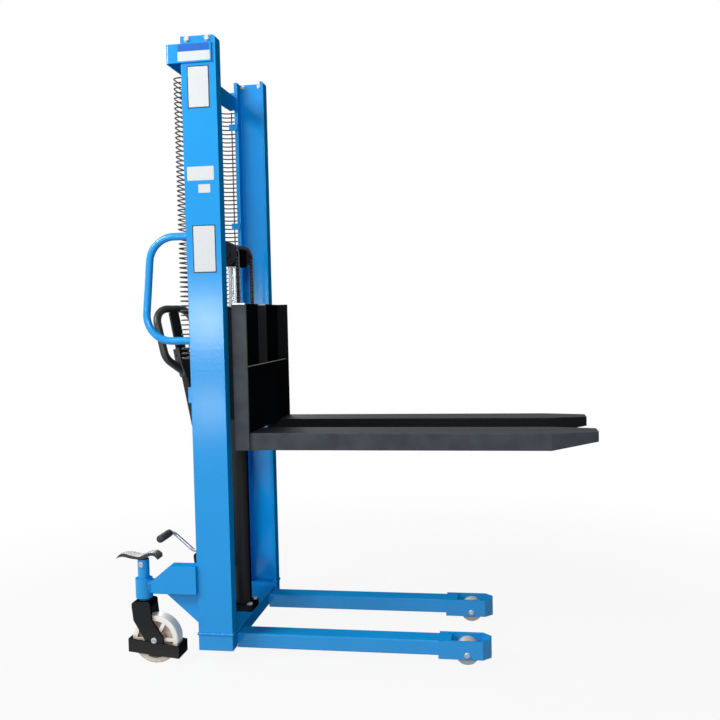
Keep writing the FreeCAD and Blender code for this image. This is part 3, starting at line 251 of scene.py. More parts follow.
def painted_steel(name, colour, shade, roughness, sheen, peel):
    """Sprayed and baked enamel on steel: almost even in colour, with broad faint clouds where the coat is thicker,
    an orange peel that breaks up its highlights, pressed edges that catch the light, and floor dust low down."""
    finish, tree, shader, place = start(name)
    cloud = add(tree, "TexNoise", {"Vector": place, "Scale": per(220), "Detail": 3.0}).outputs["Fac"]
    tone = add(tree, "Mix", {0: cloud, 6: shade, 7: colour}, data_type="RGBA").outputs[2]
    height = add(tree, "SeparateXYZ", {0: place}).outputs["Z"]
    low = add(tree, "MapRange", {"Value": height, "From Min": 0.0, "From Max": 140 * MM, "To Min": 0.12,
                                 "To Max": 0.0}).outputs["Result"]
    speck = add(tree, "TexNoise", {"Vector": place, "Scale": per(11), "Detail": 6.0, "Roughness": 0.7}).outputs["Fac"]
    dust = add(tree, "Math", {0: low, 1: speck}, operation="MULTIPLY").outputs[0]
    colour = add(tree, "Mix", {0: dust, 6: tone, 7: linear("#8D8A84")}, data_type="RGBA").outputs[2]
    dull = add(tree, "MapRange", {"Value": speck, "From Min": 0.3, "From Max": 0.75, "To Min": roughness - 0.03,
                                  "To Max": roughness + 0.06}).outputs["Result"]
    # Real orange peel is about 1 to 3 mm, drawn coarser so that it shows
    skin = add(tree, "TexNoise", {"Vector": place, "Scale": per(peel), "Detail": 2.0}).outputs["Fac"]
    edge = add(tree, "Bevel", {"Radius": 2 * MM}, samples=4).outputs["Normal"]
    bump = add(tree, "Bump", {"Height": skin, "Strength": 0.10, "Distance": 0.4 * MM,
                              "Normal": edge}).outputs["Normal"]
    # Painted shade: the fronts and tops lose their gloss because of the way they face, so they stay dark as if in
    # shade, and the sides and backs keep their gloss
    facing = add(tree, "SeparateXYZ", {0: add(tree, "TexCoord").outputs["Normal"]})
    side = add(tree, "Math", {0: facing.outputs["Y"]}, operation="ABSOLUTE").outputs[0]
    rear = add(tree, "Math", {0: facing.outputs["X"], 1: -1.0}, operation="MULTIPLY").outputs[0]
    unshaded_facing = add(tree, "Math", {0: side, 1: rear}, operation="MAXIMUM").outputs[0]
    gloss = add(tree, "MapRange", {"Value": unshaded_facing, "From Min": 0.3, "From Max": 0.9, "To Min": 0.0,
                                   "To Max": sheen}).outputs["Result"]
    fill(tree, shader, {"Base Color": colour, "Roughness": dull, "Normal": bump, "IOR": 1.5,
                        "Specular IOR Level": gloss})
    return finish


def lit_sides_steel(name, enamel, painted_lit_grey):
    """Black enamel painted grey on its outer sides, a painted light standing in for the light that falls on them: the
    grey shows where the normal's Y and the place's Y have one sign, mottled by noise, and there the sides also reflect
    more."""
    finish, tree, shader, place = start(name)
    facing = add(tree, "SeparateXYZ", {0: add(tree, "TexCoord").outputs["Normal"]}).outputs["Y"]
    across = add(tree, "SeparateXYZ", {0: place}).outputs["Y"]
    outward = add(tree, "Math", {0: facing, 1: across}, operation="MULTIPLY").outputs[0]
    outer = add(tree, "MapRange", {"Value": outward, "From Min": 0.0, "From Max": 60 * MM}).outputs["Result"]
    rub_and_light_mottle = add(tree, "TexNoise", {"Vector": place, "Scale": per(60), "Detail": 5.0}).outputs["Fac"]
    share = add(tree, "MapRange", {"Value": rub_and_light_mottle, "From Min": 0.3, "From Max": 0.7, "To Min": 0.65,
                                   "To Max": 1.0}).outputs["Result"]
    # Painted light: the outer sides are painted grey as if lit, mottled by noise
    painted_light_share = add(tree, "Math", {0: outer, 1: share}, operation="MULTIPLY").outputs[0]
    tone = add(tree, "Mix", {0: painted_light_share, 6: enamel, 7: painted_lit_grey}, data_type="RGBA").outputs[2]
    edge = add(tree, "Bevel", {"Radius": 2 * MM}, samples=4).outputs["Normal"]
    sheen = add(tree, "MapRange", {"Value": painted_light_share, "To Min": 0.03, "To Max": 0.3}).outputs["Result"]
    fill(tree, shader, {"Base Color": tone, "Roughness": 0.5, "Normal": edge, "IOR": 1.5, "Specular IOR Level": sheen})
    return finish


def bare_metal(name, colour, shade, roughness, grain, stretch):
    """Bare or plated metal: fine drawn or turned lines that stretch along one axis, and small patches where the
    plating is duller."""
    finish, tree, shader, place = start(name)
    shader.inputs["Metallic"].default_value = 1.0
    lines = add(tree, "Mapping", {"Vector": place, "Scale": stretch}).outputs["Vector"]
    scratch = add(tree, "TexNoise", {"Vector": lines, "Scale": per(grain), "Detail": 4.0}).outputs["Fac"]
    patch = add(tree, "TexNoise", {"Vector": place, "Scale": per(14), "Detail": 3.0}).outputs["Fac"]
    tone = add(tree, "Mix", {0: patch, 6: shade, 7: colour}, data_type="RGBA").outputs[2]
    dull = add(tree, "MapRange", {"Value": scratch, "From Min": 0.3, "From Max": 0.7, "To Min": roughness * 0.7,
                                  "To Max": roughness * 1.4}).outputs["Result"]
    bump = add(tree, "Bump", {"Height": scratch, "Strength": 0.06, "Distance": 0.1 * MM}).outputs["Normal"]
    fill(tree, shader, {"Base Color": tone, "Roughness": dull, "Normal": bump})
    return finish


def moulded(name, colour, shade, roughness, grain, depth):
    """Moulded plastic or rubber: even colour, a pebbled mould grain, and slightly paler rubbed places."""
    finish, tree, shader, place = start(name)
    pebble = add(tree, "TexVoronoi", {"Vector": place, "Scale": per(grain)}).outputs["Distance"]
    rub_and_light_mottle = add(tree, "TexNoise", {"Vector": place, "Scale": per(35), "Detail": 4.0}).outputs["Fac"]
    tone = add(tree, "Mix", {0: rub_and_light_mottle, 6: colour, 7: shade}, data_type="RGBA").outputs[2]
    dull = add(tree, "MapRange", {"Value": rub_and_light_mottle, "From Min": 0.3, "From Max": 0.7, "To Min": roughness + 0.06,
                                  "To Max": roughness - 0.06}).outputs["Result"]
    bump = add(tree, "Bump", {"Height": pebble, "Strength": 0.15, "Distance": depth * MM}).outputs["Normal"]
    fill(tree, shader, {"Base Color": tone, "Roughness": dull, "Normal": bump, "IOR": 1.5})
    return finish


def cast_nylon(name, colour, recess):
    """Cast nylon wheel: a cream, slightly waxy solid that browns with dirt in its pockets."""
    finish, tree, shader, place = start(name)
    shelter = add(tree, "AmbientOcclusion", {"Distance": 45 * MM}, samples=8).outputs["AO"]
    mottle = add(tree, "TexNoise", {"Vector": place, "Scale": per(16), "Detail": 5.0}).outputs["Fac"]
    deep = add(tree, "MapRange", {"Value": shelter, "From Min": 0.25, "From Max": 0.75, "To Min": 0.95,
                                  "To Max": 0.0}).outputs["Result"]
    dirt = add(tree, "Math", {0: deep, 1: mottle}, operation="MULTIPLY").outputs[0]
    twice = add(tree, "Math", {0: dirt, 1: 1.5}, operation="MULTIPLY", use_clamp=True).outputs[0]
    tone = add(tree, "Mix", {0: twice, 6: colour, 7: recess}, data_type="RGBA").outputs[2]
    bump = add(tree, "Bump", {"Height": mottle, "Strength": 0.08, "Distance": 0.3 * MM}).outputs["Normal"]
    fill(tree, shader, {"Base Color": tone, "Roughness": 0.42, "Normal": bump, "IOR": 1.53})
    return finish


def vinyl_plate(name, colour, border):
    """Printed vinyl on a plate, left bare: a pale sheet with a faint fibre and a soft sheen."""
    finish, tree, shader, place = start(name)
    fibre = add(tree, "TexNoise", {"Vector": place, "Scale": per(6), "Detail": 4.0}).outputs["Fac"]
    tone = add(tree, "Mix", {0: fibre, 6: colour, 7: border}, data_type="RGBA").outputs[2]
    bump = add(tree, "Bump", {"Height": fibre, "Strength": 0.05, "Distance": 0.1 * MM}).outputs["Normal"]
    fill(tree, shader, {"Base Color": tone, "Roughness": 0.45, "Normal": bump, "IOR": 1.5, "Specular IOR Level": 0.25})
    return finish


def finish_of(name):
    """The named finish, made when it is first asked for."""
    return bpy.data.materials.get(name) or FINISHES[name](name)


def settings():
    return bpy.context.scene.stacker


FINISHES = {
    # Polyester powder coat over steel: bright, even and semi-gloss
    "blue_powder_coat": lambda n: painted_steel(n, tuple(settings().paint_colour), linear("#0B8FD8"), 0.16, 0.4, 7),
    # Black enamel over plate: semi-gloss, and grey where it is lit from the side
    "black_enamel": lambda n: painted_steel(n, tuple(settings().carriage_colour), linear("#0B0C0E"), 0.48, 0.2, 6),
    # The same enamel with the outsides of the carriage and of the forks painted grey, a painted light where light falls
    # on them
    "black_enamel_painted_lit_sides": lambda n: lit_sides_steel(n, tuple(settings().carriage_colour), linear("#373C44")),
    # Dipped wire: a thin soft black coat
    "black_dipped_wire": lambda n: moulded(n, linear("#141516"), linear("#1E1F21"), 0.48, 2.5, 0.1),
    # Hard chrome on a ground rod: mirror bright with fine turning marks round it
    "hard_chrome": lambda n: bare_metal(n, linear("#D9DBDE"), linear("#C4C7CB"), 0.20, 2, (0.05, 0.05, 1)),
    # Zinc plate: bright, slightly blue and softly crystalline
    "bright_zinc": lambda n: bare_metal(n, linear("#B4BAC1"), linear("#8F959D"), 0.34, 3, (1, 1, 1)),
    # Oiled carbon steel of chains and chain wheels: nearly black with dull worn edges
    "oiled_chain_steel": lambda n: bare_metal(n, linear("#3A3B3E"), linear("#17181A"), 0.38, 3, (1, 1, 1)),
    # Ground bearing steel of the rollers
    "bearing_steel": lambda n: bare_metal(n, linear("#8A8C90"), linear("#55575B"), 0.28, 2, (1, 0.1, 1)),
    "cast_nylon": lambda n: cast_nylon(n, linear("#F3EFE7"), linear("#8C5F3E")),
    # Load rollers rolled grey by the floor
    "worn_grey_nylon": lambda n: moulded(n, linear("#A9A7A3"), linear("#CBC9C5"), 0.45, 4, 0.3),
    # Glass-filled nylon of the tiller's head: black with a fine pebble
    "black_nylon": lambda n: moulded(n, linear("#131416"), linear("#1D1F22"), 0.36, 2.5, 0.15),
    # Rubber sleeve: matt and slightly grey
    "sleeve_rubber": lambda n: moulded(n, linear("#1A1A1B"), linear("#29292A"), 0.62, 2, 0.2),
    # Sand-cast iron pedal under black paint: coarse and satin
    "cast_iron_black": lambda n: moulded(n, linear("#18191B"), linear("#25272A"), 0.50, 3, 0.4),
    "bare_vinyl": lambda n: vinyl_plate(n, linear("#D3D7D9"), linear("#C6CBCE")),
    "dark_vinyl": lambda n: vinyl_plate(n, linear("#2A3440"), linear("#1E2630")),
    "blue_vinyl": lambda n: vinyl_plate(n, linear("#0763C6"), linear("#0A57B0")),
    # Bright steel strips: a painted highlight on the carriage's upper edges
    "highlight_strip_steel": lambda n: bare_metal(n, linear("#D8DADD"), linear("#B4B8BD"), 0.35, 3, (1, 1, 1)),
}

NODE_FINISHES = {
    "blue_powder_coat": ["mast_channel_right", "mast_channel_left", "mast_feet", "head_band", "top_tie",
                         "base_crossbeam", "legs", "leg_ends", "caster_arms", "swivel_collars", "king_tube_right",
                         "king_tube_left", "push_handles", "guard_clips", "pump_shelf"],
    "black_enamel": ["cylinder_barrel", "cylinder_base", "gland_nut", "chain_anchor", "crosshead",
                     "carriage_back_plate", "carriage_front_plate", "carriage_rib",
                     "roller_brackets", "pump_body", "tiller_yoke", "tiller_shaft",
                     "caster_fork_right", "caster_fork_left", "release_lever"],
    "black_enamel_painted_lit_sides": ["carriage_side_plates", "fork_right", "fork_left"],
    "black_dipped_wire": ["mesh_guard"],
    "hard_chrome": ["piston_rod", "pump_plunger"],
    "bright_zinc": ["foot_pedal", "oil_pipe", "head_bolts", "base_bolts", "front_roller_axles",
                    "caster_bolts_right", "caster_axle_left"],
    "oiled_chain_steel": ["chain_wheel_right", "chain_wheel_left", "chain_wraps", "rear_chains", "front_chains"],
    "bearing_steel": ["lower_mast_roller_right", "lower_mast_roller_left", "upper_mast_roller_right",
                      "upper_mast_roller_left"],
    "cast_nylon": ["caster_wheel_right", "caster_wheel_left"],
    "worn_grey_nylon": ["front_roller_right", "front_roller_left"],
    "black_nylon": ["tiller_loop", "king_cap_left"],
    "sleeve_rubber": ["foot_grip"],
    "cast_iron_black": ["brake_pedal"],
}


class StackerSettings(bpy.types.PropertyGroup):
    """Sizes and colours of the stacker's finishes."""
    paint_colour: FloatVectorProperty(
        name="Paint", description="Powder coat on the mast, legs, arms and handles", subtype="COLOR", size=4,
        min=0, max=1, default=linear("#0D99E4"))
    carriage_colour: FloatVectorProperty(
        name="Carriage", description="Enamel on the carriage, forks, cylinder and yokes", subtype="COLOR", size=4,
        min=0, max=1, default=linear("#16181B"))
    wire_diameter: FloatProperty(
        name="Guard wire", description="Diameter of the mesh guard's wires", unit="LENGTH", default=5 * MM)
    guard_rows: FloatProperty(
        name="Guard spacing", description="Height between two level wires of the guard", unit="LENGTH",
        default=16.31 * MM)
    chain_pitch: FloatProperty(
        name="Chain pitch", description="Distance between two pins of the lift chains", unit="LENGTH",
        default=12.7 * MM)
    bead_radius: FloatProperty(
        name="Weld bead", description="Radius of a weld bead", unit="LENGTH", default=4.6 * MM)
    sleeve_rib: FloatProperty(
        name="Sleeve rib", description="Distance between two ribs of the pedal's sleeve", unit="LENGTH",
        default=5.5 * MM)


class STACKER_OT_coat_solids(bpy.types.Operator):
    """Gives every solid of the frame its finish"""
    bl_idname = "stacker.coat_solids"
    bl_label = "Coat the solids"

    def execute(self, context):
        for name, nodes in NODE_FINISHES.items():
            for node in nodes:
                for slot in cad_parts[node].material_slots:
                    slot.material = finish_of(name)
        return {"FINISHED"}


class STACKER_OT_mesh_guard(bpy.types.Operator):
    """Builds the wire guard: level wires bent round the masts, welded to upright ones"""
    bl_idname = "stacker.mesh_guard"
    bl_label = "Mesh guard"

    def execute(self, context):
        low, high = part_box("mesh_guard")
        wire = settings().wire_diameter
        radius = wire / 2
        back = low.x + radius
        half = high.y - radius
        rows = round((high.z - low.z - wire) / settings().guard_rows)
        heights = np.linspace(low.z + radius, high.z - radius, rows + 1)
        outline = rounded_path([(high.x, -half, 0), (back, -half, 0), (back, half, 0), (high.x, half, 0)], 5 * wire)
        level = outline + heights[:, None, None] * Z
        # The uprights stand behind the level wires, and one at each mast stands inside them
        uprights = [(back + wire * 0.9, y) for y in (-half / 3, half / 3)]
        uprights += [(high.x - 2.4 * wire, side * (half - wire * 0.9)) for side in (-1, 1)]
        feet = np.array([(x, y, low.z) for x, y in uprights])
        stand = np.stack([feet, feet + (high.z - low.z) * Z], axis=1)
        piece = make_piece("mesh_guard_wires", [tube(level, Z, radius, 8), tube(stand, X, radius, 8)],
                           finish_of("black_dipped_wire"))
        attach(piece, "frame")
        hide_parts("mesh_guard")
        return {"FINISHED"}


def chain_links(middles, along, pins, width):
    """Leaf chain: waisted plates in five layers, whose outline is s = a cos t, h = b sin t^0.6 (0.78 + 0.22 cos^2 t),
    alternate links in alternate layers, and a pin through each joint."""
    pitch = settings().chain_pitch
    angle = np.linspace(0, TURN, 17)
    high = 7 * MM
    s = (pitch / 2 + high * 0.86) * np.cos(angle)
    h = high * np.sign(np.sin(angle)) * np.abs(np.sin(angle)) ** 0.6 * (0.78 + 0.22 * np.cos(angle) ** 2)
    side = np.cross(Y, along)
    outline = middles[:, None] + s[:, None] * along[:, None] + h[:, None] * side[:, None]
    layers = np.linspace(-0.42, 0.42, 5) * width
    half_plate = 0.085 * width
    plates = []
    for i, layer in enumerate(layers):
        ring = outline[i % 2::2]
        centre = middles[i % 2::2]
        faces = [(centre, -1), (ring, -1), (ring, 1), (centre, 1)]
        rows = [(p if p is ring else np.repeat(p[:, None], 17, axis=1)) + (layer + k * half_plate) * Y
                for p, k in faces]
        plates.append(np.stack(rows, axis=1))
    reach = 0.58 * width
    profile = [(0, -reach, 0), (2.6 * MM, -reach, 0), (2.6 * MM, reach, 0), (0, reach, 0)]
    return plates, [pins[:, None, None] + turned(profile, (0, 0, 0), Y, sides=8)]


class STACKER_OT_lift_chains(bpy.types.Operator):
    """Builds the lift chains link by link: a half turn over each wheel, and the straight runs"""
    bl_idname = "stacker.lift_chains"
    bl_label = "Lift chains"

    def execute(self, context):
        wrap_low, wrap_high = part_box("chain_wraps")
        for node in ("front_chains", "rear_chains"):
            low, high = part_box(node)
            x = (low.x + high.x) / 2
            links = round((high.z - low.z) / settings().chain_pitch)
            z = np.linspace(high.z, low.z, links + 1)
            pins = np.stack([np.full(links + 1, x), np.zeros(links + 1), z], axis=-1)
            for piece in self.pieces(node[:-7], pins):
                if node == "front_chains":
                    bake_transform(piece)
                else:
                    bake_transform(piece)
                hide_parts(node)
        radius = (wrap_high.x - wrap_low.x) / 2 - 5 * MM
        links = round(math.pi * radius / settings().chain_pitch)
        angle = np.linspace(0, math.pi, links + 1)
        wheel_x = (wrap_low.x + wrap_high.x) / 2
        pins = np.stack([wheel_x + radius * np.cos(angle), 0 * angle, wrap_low.z + radius * np.sin(angle)], axis=-1)
        for piece in self.pieces("wheel", pins):
            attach(piece, "crosshead")
            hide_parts("chain_wraps")
        return {"FINISHED"}

    def pieces(self, name, pins):
        """The plates and the pins of both chains along a row of pins."""
        low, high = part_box("chain_wheel_left")
        middle = (low.y + high.y) / 2
        width = 2 * (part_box("chain_wraps")[1].y - middle)
        along = np.diff(pins, axis=0)
        along /= np.linalg.norm(along, axis=1, keepdims=True)
        right = chain_links((pins[:-1] + pins[1:]) / 2 - middle * Y, along, pins - middle * Y, width)
        plates, rods = (both_sides(grids) for grids in right)
        yield make_piece(name + "_chain_plates", plates, finish_of("oiled_chain_steel"), crease=50)
        yield make_piece(name + "_chain_pins", rods, finish_of("bearing_steel"), crease=50)


class STACKER_OT_bolts(bpy.types.Operator):
    """Puts hexagon bolts where the solids have plain heads"""
    bl_idname = "stacker.bolts"
    bl_label = "Bolts and axles"

    def execute(self, context):
        zinc = finish_of("bright_zinc")
        # Two bolts through each web at the top of the mast, with nuts inside
        low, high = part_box("head_bolts")
        radius = (high.z - low.z) / 2
        z = (low.z + high.z) / 2
        web = 8 * MM
        heads = []
        for x in (low.x + radius, high.x - radius):
            heads.append(hex_bolt((x, WEB_FACE, z), -Y, radius, -low.y + WEB_FACE))
            heads.append(hex_bolt((x, WEB_FACE + web, z), Y, radius, -low.y + WEB_FACE))
        piece = make_piece("head_bolt_set", both_sides(heads), zinc, crease=30)
        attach(piece, "frame")
        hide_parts("head_bolts")
        # Four bolts on the cylinder's base
        low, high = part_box("base_bolts")
        radius = 10 * MM
        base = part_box("cylinder_base")[1].z
        heads = [hex_bolt((x, y, base), Z, radius, high.z - base) for x in (low.x + radius, high.x - radius)
                 for y in (low.y + radius, high.y - radius)]
        piece = make_piece("base_bolt_set", heads, zinc, crease=30)
        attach(piece, "frame")
        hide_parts("base_bolts")
        # Axles of the load rollers
        low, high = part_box("front_roller_axles")
        head, shank = 6 * MM, 8 * MM
        radius = (high.z - low.z) / 2
        x = (low.x + high.x) / 2
        z = (low.z + high.z) / 2
        roller_low, roller_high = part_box("front_roller_right")
        middle = (roller_low.y + roller_high.y) / 2
        inner = 2 * middle - low.y
        self.axle("load_roller_axles", ("front_roller_axles",), "frame", zinc,
                  both_sides(self.through(x, z, low.y + head, inner - head, 0.75 * radius, head, shank)))
        # Axle bolts of the casters, and the bolt that the brake pedal tilts on
        for side, node in ((-1, "caster_bolts_right"), (1, "caster_axle_left")):
            name = "right" if side < 0 else "left"
            low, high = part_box(node)
            wheel_low, wheel_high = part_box("caster_wheel_" + name)
            x = (wheel_low.x + wheel_high.x) / 2
            z = (wheel_low.z + wheel_high.z) / 2
            grids = self.through(x, z, low.y + head, high.y - head, 9.5 * MM, head, shank)
            if side < 0:
                tube_low, tube_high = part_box("king_tube_right")
                king = (tube_low.x + tube_high.x) / 2
                pin_radius, pin_head, pin_shank = 9 * MM, 5 * MM, 5 * MM
                grids += self.through(king, high.z - pin_radius, tube_low.y, tube_high.y, pin_radius, pin_head,
                                      pin_shank)
            self.axle("caster_axle_bolts_" + name, (node,), "caster_" + name, zinc, grids)
        return {"FINISHED"}

    def through(self, x, z, y0, y1, radius, head, shank):
        """A shank along Y between two faces, with a hexagon head on each."""
        return [tube([(x, y0, z), (x, y1, z)], Z, shank, 16), hex_bolt((x, y0, z), -Y, radius, head),
                hex_bolt((x, y1, z), Y, radius, head)]

    def axle(self, name, nodes, body, finish, grids):
        """One piece that stands for the nodes and rides on the body."""
        piece = make_piece(name, grids, finish, crease=30)
        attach(piece, body)
        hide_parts(*nodes)


class STACKER_OT_weld_beads(bpy.types.Operator):
    """Lays painted weld beads where the frame's plates and tubes meet"""
    bl_idname = "stacker.weld_beads"
    bl_label = "Weld beads"

    def execute(self, context):
        radius = settings().bead_radius
        ripple = 2.6 * radius
        beads = []
        # Round the foot of the mast, where the channel stands on its thicker foot
        around = [(MAST_FRONT, MOUTH, FOOT_TOP), (MAST_FRONT, WEB_FACE, FOOT_TOP), (MAST_BACK, WEB_FACE, FOOT_TOP),
                  (MAST_BACK, MOUTH, FOOT_TOP)]
        beads.append(bead(around, Z, 1.25 * radius, 1.25 * ripple))
        # Rings at both ends of the push handle
        tube_radius = 13 * MM
        handle_ends = (1104 * MM, 1456 * MM)
        angle = np.linspace(0, TURN, 33)
        y = (WEB_FACE + MOUTH) / 2
        for z in handle_ends:
            ring = np.stack([0 * angle + MAST_BACK, y + tube_radius * np.cos(angle), z + tube_radius * np.sin(angle)],
                            axis=-1)
            beads.append(bead(ring, X, radius, ripple))
        # Root of the caster arm on the mast
        arm_inner = WEB_FACE + 37 * MM
        arm_low, arm_high = 241 * MM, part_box("caster_arms")[1].z
        beads.append(bead([(MAST_BACK, WEB_FACE, arm_high), (MAST_BACK, arm_inner, arm_high),
                           (MAST_BACK, arm_inner, arm_low), (MAST_BACK, WEB_FACE, arm_low)], X, radius, ripple))
        # The gusset below the arm, and the neck where it meets the collar
        gusset_foot, gusset_tip, half_wall = 128 * MM, MAST_BACK - 130 * MM, 4 * MM
        for face in (y - half_wall, y + half_wall):
            beads.append(bead([(MAST_BACK, face, gusset_foot), (MAST_BACK, face, arm_low), (gusset_tip, face, arm_low)],
                              Y, 0.7 * radius, ripple))
        tube_low, tube_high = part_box("king_tube_right")
        king = (tube_low.x + tube_high.x) / 2
        neck_x, neck_half, neck_top = king + 25 * MM, 16 * MM, 283 * MM
        for side in (-1, 1):
            place = (neck_x, (tube_low.y + tube_high.y) / 2 + side * neck_half)
            beads.append(bead([(*place, arm_low), (*place, neck_top)], X, radius, ripple))
        # Root of the leg on the crossbeam
        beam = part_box("base_crossbeam")[1]
        leg_width = 75 * MM
        outer = -250 * MM
        inner = outer + leg_width
        beads.append(bead([(beam.x, outer, beam.z), (beam.x, inner, beam.z)], X, radius, ripple))
        piece = make_piece("frame_weld_beads", both_sides(beads), finish_of("blue_powder_coat"),
                           crease=60)
        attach(piece, "frame")
        # Along the top of the carriage's front plate, between the sides
        low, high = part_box("carriage_front_plate")
        line = [(low.x, low.y, high.z), (low.x, high.y, high.z)]
        piece = make_piece("carriage_weld_bead", [bead(line, X, 0.8 * radius, 1.6 * ripple)],
                           finish_of("cast_iron_black"), crease=60)
        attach(piece, "carriage")
        return {"FINISHED"}


class STACKER_OT_label_plates(bpy.types.Operator):
    """Sets bare plates with a dark rim on the right web, and a pale and a dark strip on the band"""
    bl_idname = "stacker.label_plates"
    bl_label = "Bare label plates"

    # Rear and front edges behind the mast's front face, and lower and upper edges, in millimetres
    RIMMED = ((100, 24, 1873, 2012), (98, 17.5, 1330, 1489))
    PLAIN = ((109.5, 17.5, 1636, 1682), (72, 31, 1595, 1623))
    BAND_PALE = (128, 17, 2027, 2058)
    BAND_DARK = (128, 20, 2059, 2082)

    def execute(self, context):
        rim = 3.5
        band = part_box("head_band")[0].y
        inner = [(rear - rim, front + rim, low + rim, high - rim) for rear, front, low, high in self.RIMMED]
        pale = [self.at(place, WEB_FACE, 0.8) for place in (*inner, *self.PLAIN)]
        pale.append(self.at(self.BAND_PALE, band, 0.5))
        dark = [self.at(place, WEB_FACE, 0.5) for place in self.RIMMED]
        for name, grids, finish in (("bare_label_plates", pale, "bare_vinyl"), ("label_rims", dark, "dark_vinyl"),
                                    ("band_strip", [self.at(self.BAND_DARK, band, 0.5)], "blue_vinyl")):
            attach(make_piece(name, grids, finish_of(finish)), "frame")
        return {"FINISHED"}

    def at(self, place, face, thickness):
        """A plate on the face, from its edges and thickness in millimetres."""
        rear, front, low, high = (value * MM for value in place)
        centre = (MAST_FRONT - (rear + front) / 2, face, (low + high) / 2)
        return plate(rear - front, high - low, thickness * MM, centre, X, Z)


class STACKER_OT_highlight_edges(bpy.types.Operator):
    """Lays bright strips along the upper edges of the carriage's sides and rib: a painted highlight where those edges
    catch the light
    """
    bl_idname = "stacker.worn_edges"
    bl_label = "Painted highlight edges"

    def execute(self, context):
        strip, rib_half = 5 * MM, 5 * MM
        grids = []
        for node, y in (("carriage_side_plates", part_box("carriage_side_plates")[0].y), ("carriage_rib", -rib_half)):
            low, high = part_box(node)
            # Painted highlight: a bright strip along each upper edge, where the edge catches the light
            centre = ((low.x + high.x) / 2, y, high.z - strip / 2)
            grids.append(plate(high.x - low.x - strip, strip, 0.4 * MM, centre, X, Z))
        piece = make_piece("painted_highlight_carriage_edges", both_sides(grids), finish_of("highlight_strip_steel"))
        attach(piece, "carriage")
        return {"FINISHED"}


class STACKER_OT_pedal_sleeve(bpy.types.Operator):
    """Turns the ribbed rubber sleeve of the foot pedal"""
    bl_idname = "stacker.pedal_sleeve"
    bl_label = "Pedal sleeve"

    def execute(self, context):
        low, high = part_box("foot_grip")
        radius = (high.z - low.z) / 2
        length = high.y - low.y
        y = np.linspace(0, length, 161)
        # r(y) = R - depth (1 + cos(2 pi y / rib)) / 2, rounded off at both ends
        rib = settings().sleeve_rib
        depth, rounding = 1.1 * MM, 5 * MM
        wave = radius - depth * (0.5 + 0.5 * np.cos(TURN * y / rib))
        end = np.minimum(y, length - y)
        wave *= np.sqrt(np.clip(1 - (1 - np.minimum(end / rounding, 1)) ** 2, 0, 1))
        profile = np.stack([wave, y, 0 * y], axis=-1)
        centre = ((low.x + high.x) / 2, low.y, (low.z + high.z) / 2)
        piece = make_piece("ribbed_pedal_sleeve", [turned(profile, centre, Y, sides=28)], finish_of("sleeve_rubber"),
                           crease=70)
        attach(piece, "foot_pedal")
        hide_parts("foot_grip")
        return {"FINISHED"}


